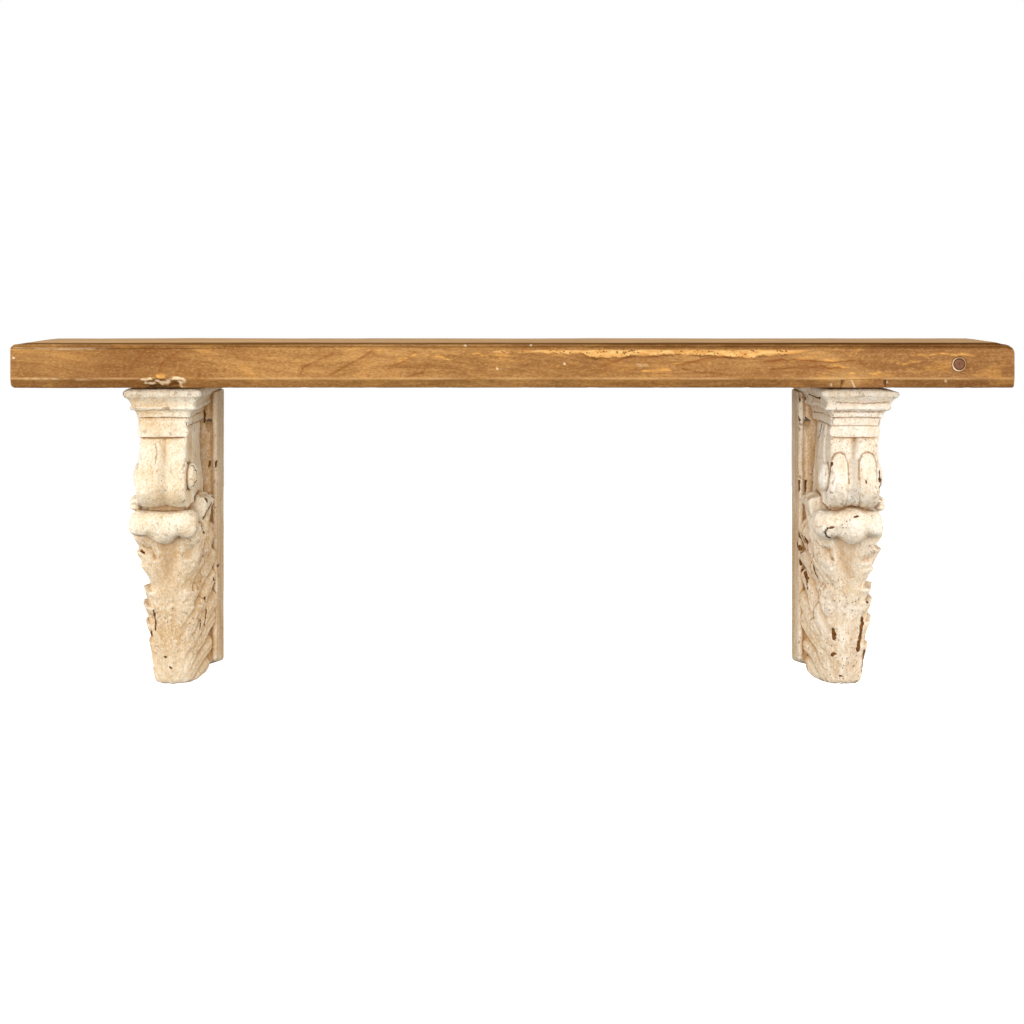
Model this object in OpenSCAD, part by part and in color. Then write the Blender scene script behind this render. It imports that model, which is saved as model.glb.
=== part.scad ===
// Wall shelf: a thick old plank on a pair of carved console corbels.
// X runs along the wall, Y from the room into the wall, Z up. The wall is the plane Y = 0.
// The origin is the middle of the plank's back face.

/* [Plank] */
// Length of the plank along the wall
plank_l = 1016; // [980:1:1200]
// Depth of the plank from the wall to its front face
plank_d = 203; // [198:1:240]
// Thickness of the plank
plank_t = 44; // [40:1:60]
// Height of the chamfer along the bottom front edge
chamfer_h = 9; // [8:0.5:12]
// How far the chamfer cuts back under the front face
chamfer_d = 4; // [2:0.5:6]
// Radius of the rounded top front edge
top_round = 4; // [2:0.5:6]

/* [Plugged hole and patch] */
// Place of the plugged hole along the plank, from its middle
plug_x = 452; // [420:1:470]
// Height of the plugged hole above the middle of the front face
plug_z = 2; // [-2:0.5:4]
// Radius of the old hole
plug_hole_r = 8; // [7.5:0.5:9]
// Depth of the filler ring in the old hole
filler_depth = 14; // [8:1:20]
// Radius of the dowel plug
plug_r = 5.5; // [4:0.5:6]
// Length of the dowel plug
plug_l = 38; // [24:1:50]
// Place of the patch along the plank, from its middle to the patch's middle
patch_x = 355.5; // [300:0.5:400]
// Length of the patch let into the chamfer
patch_l = 46; // [30:1:60]
// Height of the patch
patch_h = 8; // [6:0.5:8]
// Depth of the patch behind the front face
patch_d = 9; // [8:1:14]

/* [Corbel body] */
// Distance between the middles of the two corbels
corbel_spacing = 712; // [560:1:840]
// Shift of the pair of corbels along the wall from the plank's middle
pair_shift = -4; // [-20:1:20]
// Height of a corbel
corbel_h = 322; // [318:1:340]
// Width of the cap, and twice how far the back block reaches on the corbel's inner side
cap_w = 80; // [78:1:90]
// How far the cap stands out from the wall
cap_d = 180; // [178:1:186]
// Width of the scroll and of the corbel's head
scroll_w = 48; // [46:1:50]
// Width of the core behind the scroll and the leaf
core_w = 36; // [32:1:38]
// Depth of the back block
block_d = 54; // [50:1:58]
// How much the bottom of the back block slopes up towards its front
block_slope = 10; // [0:1:20]
// Radius of the bead down the back block's inner front corner
bead_r = 2.5; // [1.5:0.25:3]
// Depth of the quirk beside that bead
quirk_d = 2; // [1:0.25:3]

/* [Cap and neck mouldings] */
// Height of the round-nosed band at the top of the cap
band_h = 12.5; // [11:0.5:14]
// Radius of the band's nose corners
nose_r = 5; // [3:0.5:5.5]
// Height of the whole cap moulding
cap_h = 32; // [30:1:34]
// Set-back of the first cove behind the band
cove_step = 3; // [2:0.5:4]
// Radius of the bead between the two coves
cap_bead_r = 2; // [1.5:0.25:2.5]
// How far that bead stands out from the corbel's body
cap_bead_out = 9.5; // [8:0.5:10]
// How far the lowest fillet of the cap stands out
cap_foot_out = 2.5; // [2:0.5:4]
// Height of the neck's upper band
neck_upper_h = 9; // [7:0.5:10]
// Height of the neck's lower band
neck_lower_h = 12; // [10:0.5:13]
// How far the neck's upper band stands out
neck_upper_out = 2; // [1.5:0.5:3]
// How far the neck's lower band stands out
neck_lower_out = 3.5; // [3:0.5:5]

/* [Scroll] */
// How far the scroll's top sits behind the head's front face
scroll_setback = 3.5; // [2:0.5:5]
// Radius of the roll at the bottom of the scroll
roll_r = 26.5; // [25:0.5:28]
// Height of the roll's middle below the top of the corbel
roll_drop = 101; // [98:1:104]
// How far the roll stands out from the wall
roll_out = 171; // [169:1:174]
// Depth of the channels cut between and beside the two reeds
reed_depth = 2.5; // [1.5:0.25:3.5]
// Width of one reed
reed_w = 17; // [14:0.5:18]
// Width of the channel between the reeds
channel_w = 8; // [6:0.5:10]
// Radius of the boss on each side of the scroll
boss_r = 14.5; // [12:0.5:16]
// Thickness of the boss at its rim
boss_rim = 5; // [3:0.5:6]
// Rise of the boss's domed face over its rim
boss_dome = 4; // [2:0.5:5]
// How far the boss's middle is from the wall
boss_out = 146; // [143:1:149]
// Height of the boss's middle below the top of the corbel
boss_drop = 95; // [92:1:98]

/* [Leaf] */
// Radius of the rolled-over leaf tip
lip_r = 16; // [15:0.5:17]
// Width of the rolled-over leaf tip
lip_w = 70; // [64:1:76]
// How far the middle of that roll is from the wall
lip_out = 141; // [139:1:143]
// Height of that roll's middle below the top of the corbel
lip_drop = 144.5; // [143:0.5:146]
// Thickness of the carved leaf in front of the core
leaf_t = 22; // [18:1:26]
// How far the leaf stands out from the wall under the rolled tip
leaf_top_out = 134; // [130:1:136]
// How far the leaf stands out from the wall at its foot
leaf_foot_out = 98; // [94:1:104]
// Half the width of the leaf's middle strip
leaf_half_w = 20; // [18:1:22]
// Number of lobe pairs down the leaf's front
leaf_lobes = 3; // [2:1:4]
// Radius of the largest of those lobes
leaf_lobe_r = 19; // [16:0.5:20]
// How far the largest of them reaches from the leaf's middle
leaf_lobe_reach = 31; // [28:0.5:34]
// How much each lobe reaches less than the one above it
leaf_lobe_taper = 3; // [2:0.5:4]
// Number of lobes down each side of the corbel
side_lobes = 6; // [4:1:8]
// Radius of the topmost side lobe
side_lobe_r = 20; // [18:0.5:21]
// Radius of the lowest side lobe
side_lobe_foot_r = 17; // [16:0.5:18]
// How far the topmost side lobe reaches from the corbel's middle
side_lobe_reach = 38; // [34:0.5:39]
// How far the lowest side lobe reaches
side_lobe_foot_reach = 25; // [23:0.5:28]
// How far the side lobes' middles are from the wall
side_lobe_out = 78; // [74:1:82]
// Height of the topmost side lobe's middle below the top of the corbel
side_lobe_drop = 124; // [120:1:128]
// Width and depth of the stem that joins the side lobes along the back block
side_stem = 8; // [6:1:10]

/* [Fixings] */
// Inclination of the pocket screws from vertical
pocket_angle = 22; // [18:1:24]
// Distance of a pocket screw from the middle of its corbel
pocket_x = 31; // [29.5:0.5:32]
// Height of the pocket's mouth below the top of the corbel
pocket_drop = 50.5; // [48:0.5:54]
// Radius of the pocket
pocket_r = 4; // [3.8:0.1:4.2]
// How deep the screw's head lies along the pocket
pocket_depth = 7; // [6:0.5:9]
// Length of a pocket screw
pocket_screw_l = 75; // [65:1:80]
// Radius of a pocket screw's shank
pocket_shank_r = 2.1; // [1.8:0.1:2.5]
// Radius of a pocket screw's head
pocket_head_r = 3.8; // [3.2:0.1:3.8]
// Width of the steel hanger plate
plate_w = 18; // [16:1:22]
// Height of the steel hanger plate
plate_h = 52; // [50:1:60]
// Thickness of the steel hanger plate
plate_t = 2; // [1.5:0.25:3]
// Height of the plate's middle below the top of the corbel
plate_drop = 88; // [80:1:110]
// Radius of the keyhole's round entry
keyhole_r = 5; // [4:0.5:6]
// Half the width of the keyhole's slot
slot_r = 2.5; // [2:0.25:3]
// Height of the keyhole's slot above its entry
slot_rise = 12; // [10:1:14]
// How far the keyhole's entry is below the plate's middle
entry_drop = 4; // [2:1:6]
// Half the width of the cavity routed behind the plate
cavity_r = 7; // [6.5:0.5:8]
// Depth of that cavity behind the plate
cavity_d = 12; // [8:1:16]
// Distance of each plate screw from the plate's middle
plate_screw_offset = 21; // [20:0.5:22]
// Length of a plate screw
plate_screw_l = 16; // [12:1:25]
// Radius of a plate screw's shank
plate_shank_r = 1.6; // [1.2:0.1:2]
// Radius of a plate screw's head
plate_head_r = 3.4; // [3:0.1:3.6]

/* [Hidden] */
SIDES = ["left", "right"];
PLANK_NODES = ["shelf_plank", "plug_filler", "dowel_plug", "edge_patch"];
CORBEL_NODES = [
    "back_block",
    "core_block",
    "cap_front_moulding",
    "cap_inner_moulding",
    "cap_outer_moulding",
    "neck_front_moulding",
    "neck_inner_moulding",
    "neck_outer_moulding",
    "reeded_scroll",
    "inner_boss",
    "outer_boss",
    "leaf_lip",
    "acanthus_leaf",
    "inner_lobes",
    "outer_lobes",
    "hanger_plate",
];
FIXING_NODES = ["pocket_screws", "plate_screws"];

$fn = 64;
PINE = "peru";
RAW_PINE = "burlywood";
PUTTY = "wheat";
CREAM = "linen";
CREAM_SHADE = "antiquewhite";
STEEL = "silver";

// A cut runs this far past the faces that it opens
past = 1;

head_w = scroll_w;
flare = (cap_w - head_w) / 2;
head_front = -(cap_d - flare);
neck_top = -cap_h;
neck_step = neck_top - neck_upper_h;
neck_foot = neck_step - neck_lower_h;
scroll_front = head_front + scroll_setback;
roll_y = roll_r - roll_out;
roll_z = -roll_drop;
// The roll's outline ends here, in degrees round from its back, under the scroll
roll_end = 285;
// The hollow's front edge drops straight for this part of the scroll's height, then bends back
hollow_y = -1.5 * block_d;
hollow_turn_z = 0.7 * roll_z;
brow_rise = roll_z - neck_foot;
brow_run = scroll_front + roll_out;
brow_r = (brow_rise * brow_rise + brow_run * brow_run) / (2 * brow_run);
brow_turn = asin(-brow_rise / brow_r);
lip_y = -lip_out;
lip_z = -lip_drop;
leaf_top_z = lip_z;
foot_z = -corbel_h;
leaf_run = leaf_top_z - foot_z;
// The leaf's front is hollow: its bend is pulled back nearly to the foot's distance
leaf_belly_out = leaf_foot_out + 0.3 * (leaf_top_out - leaf_foot_out);
leaf_steps = 12;
plate_z = -plate_drop;
entry_z = plate_z - entry_drop;

// Points on a circle's arc, from one angle to the other
function arc(centre, r, from, to, steps = 10) =
    [for (i = [0 : steps]) let (a = from + (to - from) * i / steps) centre + r * [cos(a), sin(a)]];

// Points on a smooth bend that leaves the first point towards the second and ends at the third
function bend(a, b, c, steps = 6) =
    [for (i = [0 : steps]) let (t = i / steps) (1 - t) * (1 - t) * a + 2 * t * (1 - t) * b + t * t * c];

// An outline drawn in Y and Z, made w wide along X about the corbel's middle
module slab(w) rotate([90, 0, 90]) linear_extrude(w, center = true) children();

// An outline drawn in X and Z, made deep from the wall plane into the room
module from_wall(deep) rotate([90, 0, 0]) linear_extrude(deep) children();

// An outline drawn in X and Y, carried from the top of the corbel down to a height
module down_to(z) translate([0, 0, z]) linear_extrude(-z) children();

// A corbel's piece put in its place under the plank, mirrored on the right
module place(side) {
    if (side == "left")
        translate([pair_shift - corbel_spacing / 2, 0, -plank_t / 2]) children();
    else
        translate([pair_shift + corbel_spacing / 2, 0, -plank_t / 2]) mirror([1, 0, 0]) children();
}

// A piece made on the corbel's inner side, mirrored to its outer side
module outward() mirror([1, 0, 0]) children();

// ---- plank ----

module plank_outline() {
    front = -plank_d;
    top = plank_t / 2;
    polygon(concat(
        [[0, -top], [front + chamfer_d, -top], [front, chamfer_h - top]],
        arc([front + top_round, top - top_round], top_round, 180, 90),
        [[0, top]]
    ));
}

module plank_body() slab(plank_l) plank_outline();

module patch_space() {
    translate([patch_x - patch_l / 2, -plank_d - past, -plank_t / 2 - past])
        cube([patch_l, patch_d + past, patch_h + past]);
}

module plug_space(r, deep) {
    translate([plug_x, -plank_d - past, plug_z]) rotate([-90, 0, 0]) cylinder(h = deep + past, r = r);
}

module shelf_plank() {
    color(PINE) difference() {
        plank_body();
        plug_space(plug_hole_r, filler_depth);
        plug_space(plug_r, plug_l);
        patch_space();
        for (side = SIDES) place(side) pocket_screw();
    }
}

module plug_filler() {
    color(PUTTY) difference() {
        translate([plug_x, -plank_d, plug_z]) rotate([-90, 0, 0]) cylinder(h = filler_depth, r = plug_hole_r);
        plug_space(plug_r, plug_l);
    }
}

module dowel_plug() {
    color(RAW_PINE) translate([plug_x, -plank_d, plug_z]) rotate([-90, 0, 0]) cylinder(h = plug_l, r = plug_r);
}

module edge_patch() {
    color(RAW_PINE) intersection() {
        plank_body();
        patch_space();
    }
}

// ---- screws ----

// A countersunk wood screw that points along +Z, with its head's face at the origin
module wood_screw(l, shank_r, head_r) {
    head_h = head_r - shank_r;
    tip_h = 2 * shank_r;
    rotate_extrude() polygon([
        [0, 0],
        [head_r, 0],
        [shank_r, head_h],
        [shank_r, l - tip_h],
        [0, l],
    ]);
}

// Leads from a pocket's mouth on the back block's front face up into the plank
module along_pocket() {
    translate([pocket_x, -block_d, -pocket_drop]) rotate([-pocket_angle, 0, 0]) children();
}

module pocket_screw() {
    along_pocket() translate([0, 0, pocket_depth])
        wood_screw(pocket_screw_l, pocket_shank_r, pocket_head_r);
}

// The slanting hole that the screw's head lies in, run out past the block's front face
module pocket() {
    run_out = 4 * pocket_r;
    along_pocket() translate([0, 0, -run_out]) cylinder(h = run_out + pocket_depth, r = pocket_r);
}

module plate_screw_pair() {
    for (way = [-1, 1])
        translate([0, 0, plate_z + way * plate_screw_offset]) rotate([90, 0, 0])
            wood_screw(plate_screw_l, plate_shank_r, plate_head_r);
}

module pocket_screws() {
    color(STEEL) for (side = SIDES) place(side) pocket_screw();
}

module plate_screws() {
    color(STEEL) for (side = SIDES) place(side) plate_screw_pair();
}

// ---- back block and hanger ----

module plate_outline() {
    r = plate_w / 2;
    for (way = [-1, 1]) translate([0, plate_z + way * (plate_h / 2 - r)]) circle(r);
    translate([-r, plate_z - plate_h / 2 + r]) square([plate_w, plate_h - plate_w]);
}

module keyhole_outline() {
    translate([0, entry_z]) circle(keyhole_r);
    translate([-slot_r, entry_z]) square([2 * slot_r, slot_rise]);
    translate([0, entry_z + slot_rise]) circle(slot_r);
}

module cavity_outline() {
    translate([0, entry_z]) circle(cavity_r);
    translate([-cavity_r, entry_z]) square([2 * cavity_r, slot_rise]);
    translate([0, entry_z + slot_rise]) circle(cavity_r);
}

module hanger_plate() {
    color(STEEL) difference() {
        from_wall(plate_t) plate_outline();
        translate([0, past, 0]) from_wall(plate_t + 2 * past) keyhole_outline();
        plate_screw_pair();
    }
}

// The block's plan: as wide as the head on the outer side, and wider on the inner side, where
// its front corner has a bead and a quirk
module block_plan() {
    bead_x = cap_w / 2 - bead_r;
    difference() {
        union() {
            translate([-head_w / 2, -block_d]) square([head_w / 2 + bead_x, block_d]);
            translate([bead_x, bead_r - block_d]) square([bead_r, block_d - bead_r]);
        }
        translate([bead_x - bead_r - quirk_d / 2, -block_d]) circle(quirk_d);
    }
    translate([bead_x, bead_r - block_d]) circle(bead_r);
}

module back_block() {
    color(CREAM_SHADE) difference() {
        intersection() {
            down_to(foot_z) block_plan();
            slab(cap_w) polygon([
                [0, -band_h],
                [0, foot_z],
                [-block_d, foot_z + block_slope],
                [-block_d, -band_h],
            ]);
        }
        translate([0, past, 0]) from_wall(plate_t + past) plate_outline();
        from_wall(plate_t + cavity_d) cavity_outline();
        plate_screw_pair();
        pocket_screw();
        pocket();
    }
}

// ---- scroll ----

// The scroll's side: a long brow that swells into a roll, and an S-shaped back edge
module scroll_side(inset) {
    polygon(concat(
        [[-block_d, neck_step], [scroll_front + inset, neck_step]],
        arc([roll_y - roll_r + brow_r, roll_z], brow_r - inset, 180 - brow_turn, 180),
        arc([roll_y, roll_z], roll_r - inset, 180, roll_end),
        [[-block_d, roll_z - roll_r + 2 * inset]]
    ));
}

// The hollow behind the scroll's neck, seen from the side
module scroll_hollow() {
    top = neck_step + past;
    polygon(concat(
        bend([hollow_y, top], [hollow_y, hollow_turn_z], [-block_d, roll_z]),
        [[-block_d + past, roll_z], [-block_d + past, top]]
    ));
}

module reeded_scroll() {
    reed_top = neck_foot - reed_depth;
    color(CREAM) difference() {
        union() {
            slab(scroll_w) scroll_side(reed_depth);
            slab(scroll_w) intersection() {
                scroll_side(0);
                translate([-cap_d, reed_top]) square([cap_d, neck_step - reed_top]);
            }
            for (way = [-1, 1]) translate([way * (reed_w + channel_w) / 2, 0, 0]) slab(reed_w) scroll_side(0);
        }
        slab(cap_w) scroll_hollow();
        leaf_lip_body();
        core_body();
    }
}

module boss() {
    dome_r = (boss_r * boss_r + boss_dome * boss_dome) / (2 * boss_dome);
    dome_turn = asin(boss_r / dome_r);
    color(CREAM) translate([scroll_w / 2, -boss_out, -boss_drop]) rotate([0, 90, 0]) rotate_extrude()
        polygon(concat(
            [[0, 0], [boss_r, 0]],
            arc([0, boss_rim + boss_dome - dome_r], dome_r, 90 - dome_turn, 90)
        ));
}

// ---- cap and neck ----

// The cap's profile: how far it stands out from the head, against height
module cap_profile() {
    bead_z = -(band_h + cap_h) / 2;
    cove_out = flare - cove_step;
    polygon(concat(
        [[0, 0]],
        arc([flare - nose_r, -nose_r], nose_r, 90, 0),
        arc([flare - nose_r, nose_r - band_h], nose_r, 0, -90),
        bend(
            [cove_out, -band_h],
            [cap_bead_out, -band_h - cap_bead_r],
            [cap_bead_out - cap_bead_r, bead_z + cap_bead_r]
        ),
        arc([cap_bead_out - cap_bead_r, bead_z], cap_bead_r, 90, -90),
        bend(
            [cap_bead_out - cap_bead_r, bead_z - cap_bead_r],
            [cap_foot_out, bead_z - 2 * cap_bead_r],
            [cap_foot_out, -cap_h]
        ),
        [[0, -cap_h]]
    ));
}

module band_part() translate([0, -band_h]) square([cap_w, band_h]);

module upper_neck_profile() translate([0, neck_step]) square([neck_upper_out, neck_upper_h]);

module lower_neck_profile() {
    r = neck_lower_h / 2;
    translate([-scroll_setback, neck_foot])
        square([scroll_setback + neck_lower_out - r / 2, neck_lower_h]);
    intersection() {
        translate([neck_lower_out - r, neck_foot + r]) circle(r);
        translate([-scroll_setback, neck_foot]) square([scroll_setback + neck_lower_out, neck_lower_h]);
    }
}

// A moulding's profile run along the head's front face
module run_front(w) slab(w) translate([head_front, 0]) mirror([1, 0]) children();

// A moulding's profile run along the head's side, from the front to the wall plane
module run_side() translate([head_w / 2, 0, 0]) from_wall(cap_d) children();

module mitre_front() {
    half = head_w / 2;
    down_to(neck_step) polygon([
        [-half, head_front],
        [half, head_front],
        [half + flare, head_front - flare],
        [-half - flare, head_front - flare],
    ]);
}

module mitre_side(back_y) {
    half = head_w / 2;
    down_to(neck_step) polygon([
        [half, head_front],
        [half + flare, head_front - flare],
        [half + flare, back_y],
        [half, back_y],
    ]);
}

module cap_front_moulding() {
    color(CREAM) intersection() {
        run_front(cap_w) cap_profile();
        mitre_front();
    }
}

module cap_side_moulding() {
    intersection() {
        run_side() cap_profile();
        mitre_side(-block_d);
    }
    intersection() {
        run_side() intersection() {
            cap_profile();
            band_part();
        }
        mitre_side(0);
    }
}

module cap_inner_moulding() {
    color(CREAM) difference() {
        cap_side_moulding();
        pocket_screw();
    }
}

module cap_outer_moulding() color(CREAM) outward() cap_side_moulding();

module neck_front_moulding() {
    color(CREAM) union() {
        intersection() {
            run_front(cap_w) upper_neck_profile();
            mitre_front();
        }
        run_front(scroll_w + neck_upper_out) lower_neck_profile();
    }
}

module neck_side_moulding() {
    color(CREAM) intersection() {
        run_side() upper_neck_profile();
        mitre_side(-block_d);
    }
}

// ---- leaf ----

// The leaf's front edge seen from the side, moved back by an inset
function leaf_curve(inset) = bend(
    [inset - leaf_top_out, leaf_top_z],
    [inset - leaf_belly_out, leaf_top_z - leaf_run / 2],
    [inset - leaf_foot_out, foot_z],
    leaf_steps
);

module leaf_side() {
    back = leaf_curve(leaf_t);
    polygon(concat(leaf_curve(0), [for (i = [len(back) - 1 : -1 : 0]) back[i]]));
}

module behind_leaf() {
    polygon(concat(leaf_curve(leaf_t), [[-block_d, foot_z], [-block_d, leaf_top_z]]));
}

// The leaf's front outline: a middle strip with pairs of lobes that shrink towards the foot
module leaf_outline() {
    step = leaf_run / (leaf_lobes + 0.5);
    first_drop = 0.75;
    translate([-leaf_half_w, foot_z]) square([2 * leaf_half_w, leaf_run]);
    for (i = [0 : leaf_lobes - 1]) {
        r = leaf_lobe_r - i;
        reach = leaf_lobe_reach - leaf_lobe_taper * i;
        for (way = [-1, 1]) translate([way * (reach - r), leaf_top_z - step * (i + first_drop)]) circle(r);
    }
}

module leaf_lip_body() {
    middle_r = lip_r - 1;
    end_r = lip_r - 4;
    roll_w = lip_w - lip_r;
    translate([0, lip_y, lip_z]) {
        rotate([0, 90, 0]) cylinder(h = roll_w, r = lip_r, center = true);
        rotate([0, 90, 0]) cylinder(h = lip_w, r = end_r, center = true);
        translate([0, -lip_r / 4, -lip_r / 2]) sphere(middle_r);
        for (way = [-1, 1]) translate([way * (roll_w / 2 - lip_r / 4), 0, -lip_r / 2]) sphere(end_r);
    }
}

module leaf_lip() color(CREAM) leaf_lip_body();

module acanthus_leaf() {
    color(CREAM) difference() {
        intersection() {
            slab(cap_w) leaf_side();
            from_wall(cap_d) leaf_outline();
        }
        leaf_lip_body();
    }
}

module core_body() {
    slab(core_w) difference() {
        union() {
            behind_leaf();
            translate([-lip_out, leaf_top_z]) square([lip_out - block_d, neck_step - leaf_top_z]);
        }
        difference() {
            scroll_side(0);
            scroll_hollow();
        }
    }
}

module core_block() {
    color(CREAM_SHADE) difference() {
        union() {
            core_body();
            translate([-head_w / 2, head_front, neck_step]) cube([head_w, -head_front - block_d, -neck_step]);
            translate([-head_w / 2, head_front, -band_h]) cube([head_w, -head_front, band_h]);
        }
        leaf_lip_body();
    }
}

// Where the side lobes may be: in front of the back block and behind the leaf
module side_lobe_space() {
    behind_leaf();
    translate([-cap_d, leaf_top_z]) square([cap_d - block_d, -leaf_top_z]);
}

// Overlapping round lobes down the corbel's side, smaller and flatter towards the foot
module side_lobe_row() {
    clear_of_foot = 0.5 * side_lobe_foot_r;
    foot = foot_z + side_lobe_foot_r + clear_of_foot;
    for (i = [0 : side_lobes - 1]) {
        down = i / (side_lobes - 1);
        r = side_lobe_r + down * (side_lobe_foot_r - side_lobe_r);
        reach = side_lobe_reach + down * (side_lobe_foot_reach - side_lobe_reach);
        lobe_z = -side_lobe_drop + down * (foot + side_lobe_drop);
        translate([core_w / 2, -side_lobe_out, lobe_z]) rotate([0, 90, 0])
            cylinder(h = reach - core_w / 2, r = r);
    }
    stem_foot = foot_z + side_lobe_foot_r;
    translate([core_w / 2, -block_d - side_stem, stem_foot])
        cube([side_stem, side_stem, -side_lobe_drop - stem_foot]);
}

module side_lobe_leaf() {
    color(CREAM) difference() {
        intersection() {
            side_lobe_row();
            slab(2 * cap_w) side_lobe_space();
        }
        leaf_lip_body();
        slab(scroll_w) scroll_side(0);
    }
}

// ---- the nodes ----

shelf_plank();
plug_filler();
dowel_plug();
edge_patch();
pocket_screws();
plate_screws();

for (side = SIDES) {
    place(side) back_block();
    place(side) core_block();
    place(side) cap_front_moulding();
    place(side) cap_inner_moulding();
    place(side) cap_outer_moulding();
    place(side) neck_front_moulding();
    place(side) neck_side_moulding();
    place(side) outward() neck_side_moulding();
    place(side) reeded_scroll();
    place(side) boss();
    place(side) outward() boss();
    place(side) leaf_lip();
    place(side) acanthus_leaf();
    place(side) side_lobe_leaf();
    place(side) outward() side_lobe_leaf();
    place(side) hanger_plate();
}
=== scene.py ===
"""A thick old plank on a pair of carved and painted console corbels, built round its CAD frame.

Lengths in this script are millimetres until a mesh is made, and the axes are the frame's: X along
the wall, Y into the wall, Z up. A corbel is carved in a frame of its own: x from its middle
towards the middle of the shelf, z down from the underside of the plank.
"""

import math

import bmesh
import bpy
import numpy as np
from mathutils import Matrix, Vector


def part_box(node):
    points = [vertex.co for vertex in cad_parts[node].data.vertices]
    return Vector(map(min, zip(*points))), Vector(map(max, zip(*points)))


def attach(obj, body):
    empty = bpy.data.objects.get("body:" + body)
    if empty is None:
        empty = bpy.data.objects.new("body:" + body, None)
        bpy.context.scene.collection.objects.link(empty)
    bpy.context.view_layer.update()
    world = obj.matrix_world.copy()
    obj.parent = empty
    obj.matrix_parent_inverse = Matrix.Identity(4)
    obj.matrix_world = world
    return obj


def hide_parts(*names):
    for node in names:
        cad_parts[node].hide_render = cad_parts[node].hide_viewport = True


MM = 0.001
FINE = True

# ---------------------------------------------------------------- the frame's own sizes

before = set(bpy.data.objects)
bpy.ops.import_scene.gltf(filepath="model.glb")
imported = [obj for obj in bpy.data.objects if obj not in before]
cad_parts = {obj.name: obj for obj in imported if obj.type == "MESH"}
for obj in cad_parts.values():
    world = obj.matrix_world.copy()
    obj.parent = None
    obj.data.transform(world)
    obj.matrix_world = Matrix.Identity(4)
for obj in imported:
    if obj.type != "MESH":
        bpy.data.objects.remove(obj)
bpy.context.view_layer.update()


def box_mm(name):
    """The lowest and the highest corner of a CAD node, in mm."""
    low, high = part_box(name)
    return np.array(low) / MM, np.array(high) / MM


PLANK_LOW, PLANK_HIGH = box_mm("shelf_plank")
PLUG_LOW, PLUG_HIGH = box_mm("dowel_plug")
FILLER_LOW, FILLER_HIGH = box_mm("plug_filler")
PATCH_LOW, PATCH_HIGH = box_mm("edge_patch")
UNDERSIDE = PLANK_LOW[2]
FRONT = PLANK_LOW[1]
PLUG_MIDDLE = (PLUG_LOW + PLUG_HIGH) / 2
PLUG_R = (PLUG_HIGH[0] - PLUG_LOW[0]) / 2
HOLE_R = (FILLER_HIGH[0] - FILLER_LOW[0]) / 2
# The plank's chamfer: how high it is and how far it runs in
CHAMFER_H = 9.0
CHAMFER_D = 4.0

# The lattice on which the corbels are carved
CELL = 1.1 if FINE else 2.2


def corbel_middle(side):
    """Where a corbel's middle is along the wall."""
    low, high = box_mm(side + "_cap_front_moulding")
    return (low[0] + high[0]) / 2


# ---------------------------------------------------------------- smooth random values


def noise(points, size, seed):
    """Smooth random values from -1 to 1 at the points, with features about size mm across."""
    table = np.random.RandomState(seed).uniform(-1, 1, (32, 32, 32))
    scaled = np.asarray(points) / size
    cell = np.floor(scaled).astype(int)
    part = scaled - cell
    part = part * part * (3 - 2 * part)
    total = 0
    for corner in np.ndindex(2, 2, 2):
        at = (cell + corner) & 31
        weight = np.prod(np.where(corner, part, 1 - part), axis=-1)
        total = total + weight * table[at[..., 0], at[..., 1], at[..., 2]]
    return total


def fractal(points, size, seed, octaves=3):
    """Noise with finer and weaker noise laid over it."""
    total = 0
    for i in range(octaves):
        total = total + noise(points, size / 2**i, seed + i) / 2**i
    return total / 1.6


def smooth_step(value, low, high):
    """0 below low, 1 above high and a smooth rise between them."""
    t = np.clip((value - low) / (high - low), 0, 1)
    return t * t * (3 - 2 * t)


def patchy(points, size, seed, low, high, shrink=1):
    """Patches of 1 among 0, longer along the wall if x is shrunk."""
    return smooth_step(noise(points * (shrink, 1, 1), size, seed), low, high)


def hump(distance, width):
    """1 at no distance and falling off smoothly over about that width."""
    return np.exp(-((distance / width) ** 2))


# ---------------------------------------------------------------- solids as distances


def join(a, b, blend=0.0):
    """Two solids as one, with a fillet of about that size between them."""
    if blend <= 0:
        return np.minimum(a, b)
    h = np.clip(0.5 + 0.5 * (b - a) / blend, 0, 1)
    return b + (a - b) * h - blend * h * (1 - h)


def common(a, b, blend=0.0):
    """What two solids share, with its new edges rounded."""
    return -join(-a, -b, blend)


def cut(a, b, blend=0.0):
    """The first solid without the second."""
    return common(a, -b, blend)


def block(g, low, high, soft=0.0):
    """A box between two corners, with rounded edges."""
    outside = 0
    inside = -1e9
    for axis, lo, hi in zip((g.x, g.y, g.z), low, high):
        d = abs(axis - (lo + hi) / 2) - (hi - lo) / 2 + soft
        outside = outside + np.maximum(d, 0) ** 2
        inside = np.maximum(inside, d)
    return np.sqrt(outside) + np.minimum(inside, 0) - soft


def limb(g, a, b, ra, rb):
    """A round bar from a to b that tapers from one radius to the other."""
    step = np.subtract(b, a)
    along = (g.x - a[0]) * step[0] + (g.y - a[1]) * step[1] + (g.z - a[2]) * step[2]
    t = np.clip(along / step.dot(step), 0, 1)
    dx = g.x - a[0] - step[0] * t
    dy = g.y - a[1] - step[1] * t
    dz = g.z - a[2] - step[2] * t
    return np.sqrt(dx * dx + dy * dy + dz * dz) - (ra + (rb - ra) * t)


def egg(g, middle, radii):
    """An ellipsoid."""
    near = 0
    slope = 0
    for axis, m, r in zip((g.x, g.y, g.z), middle, radii):
        near = near + ((axis - m) / r) ** 2
        slope = slope + ((axis - m) / r**2) ** 2
    near = np.sqrt(near)
    return near * (near - 1) / np.maximum(np.sqrt(slope), 1e-6)


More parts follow.
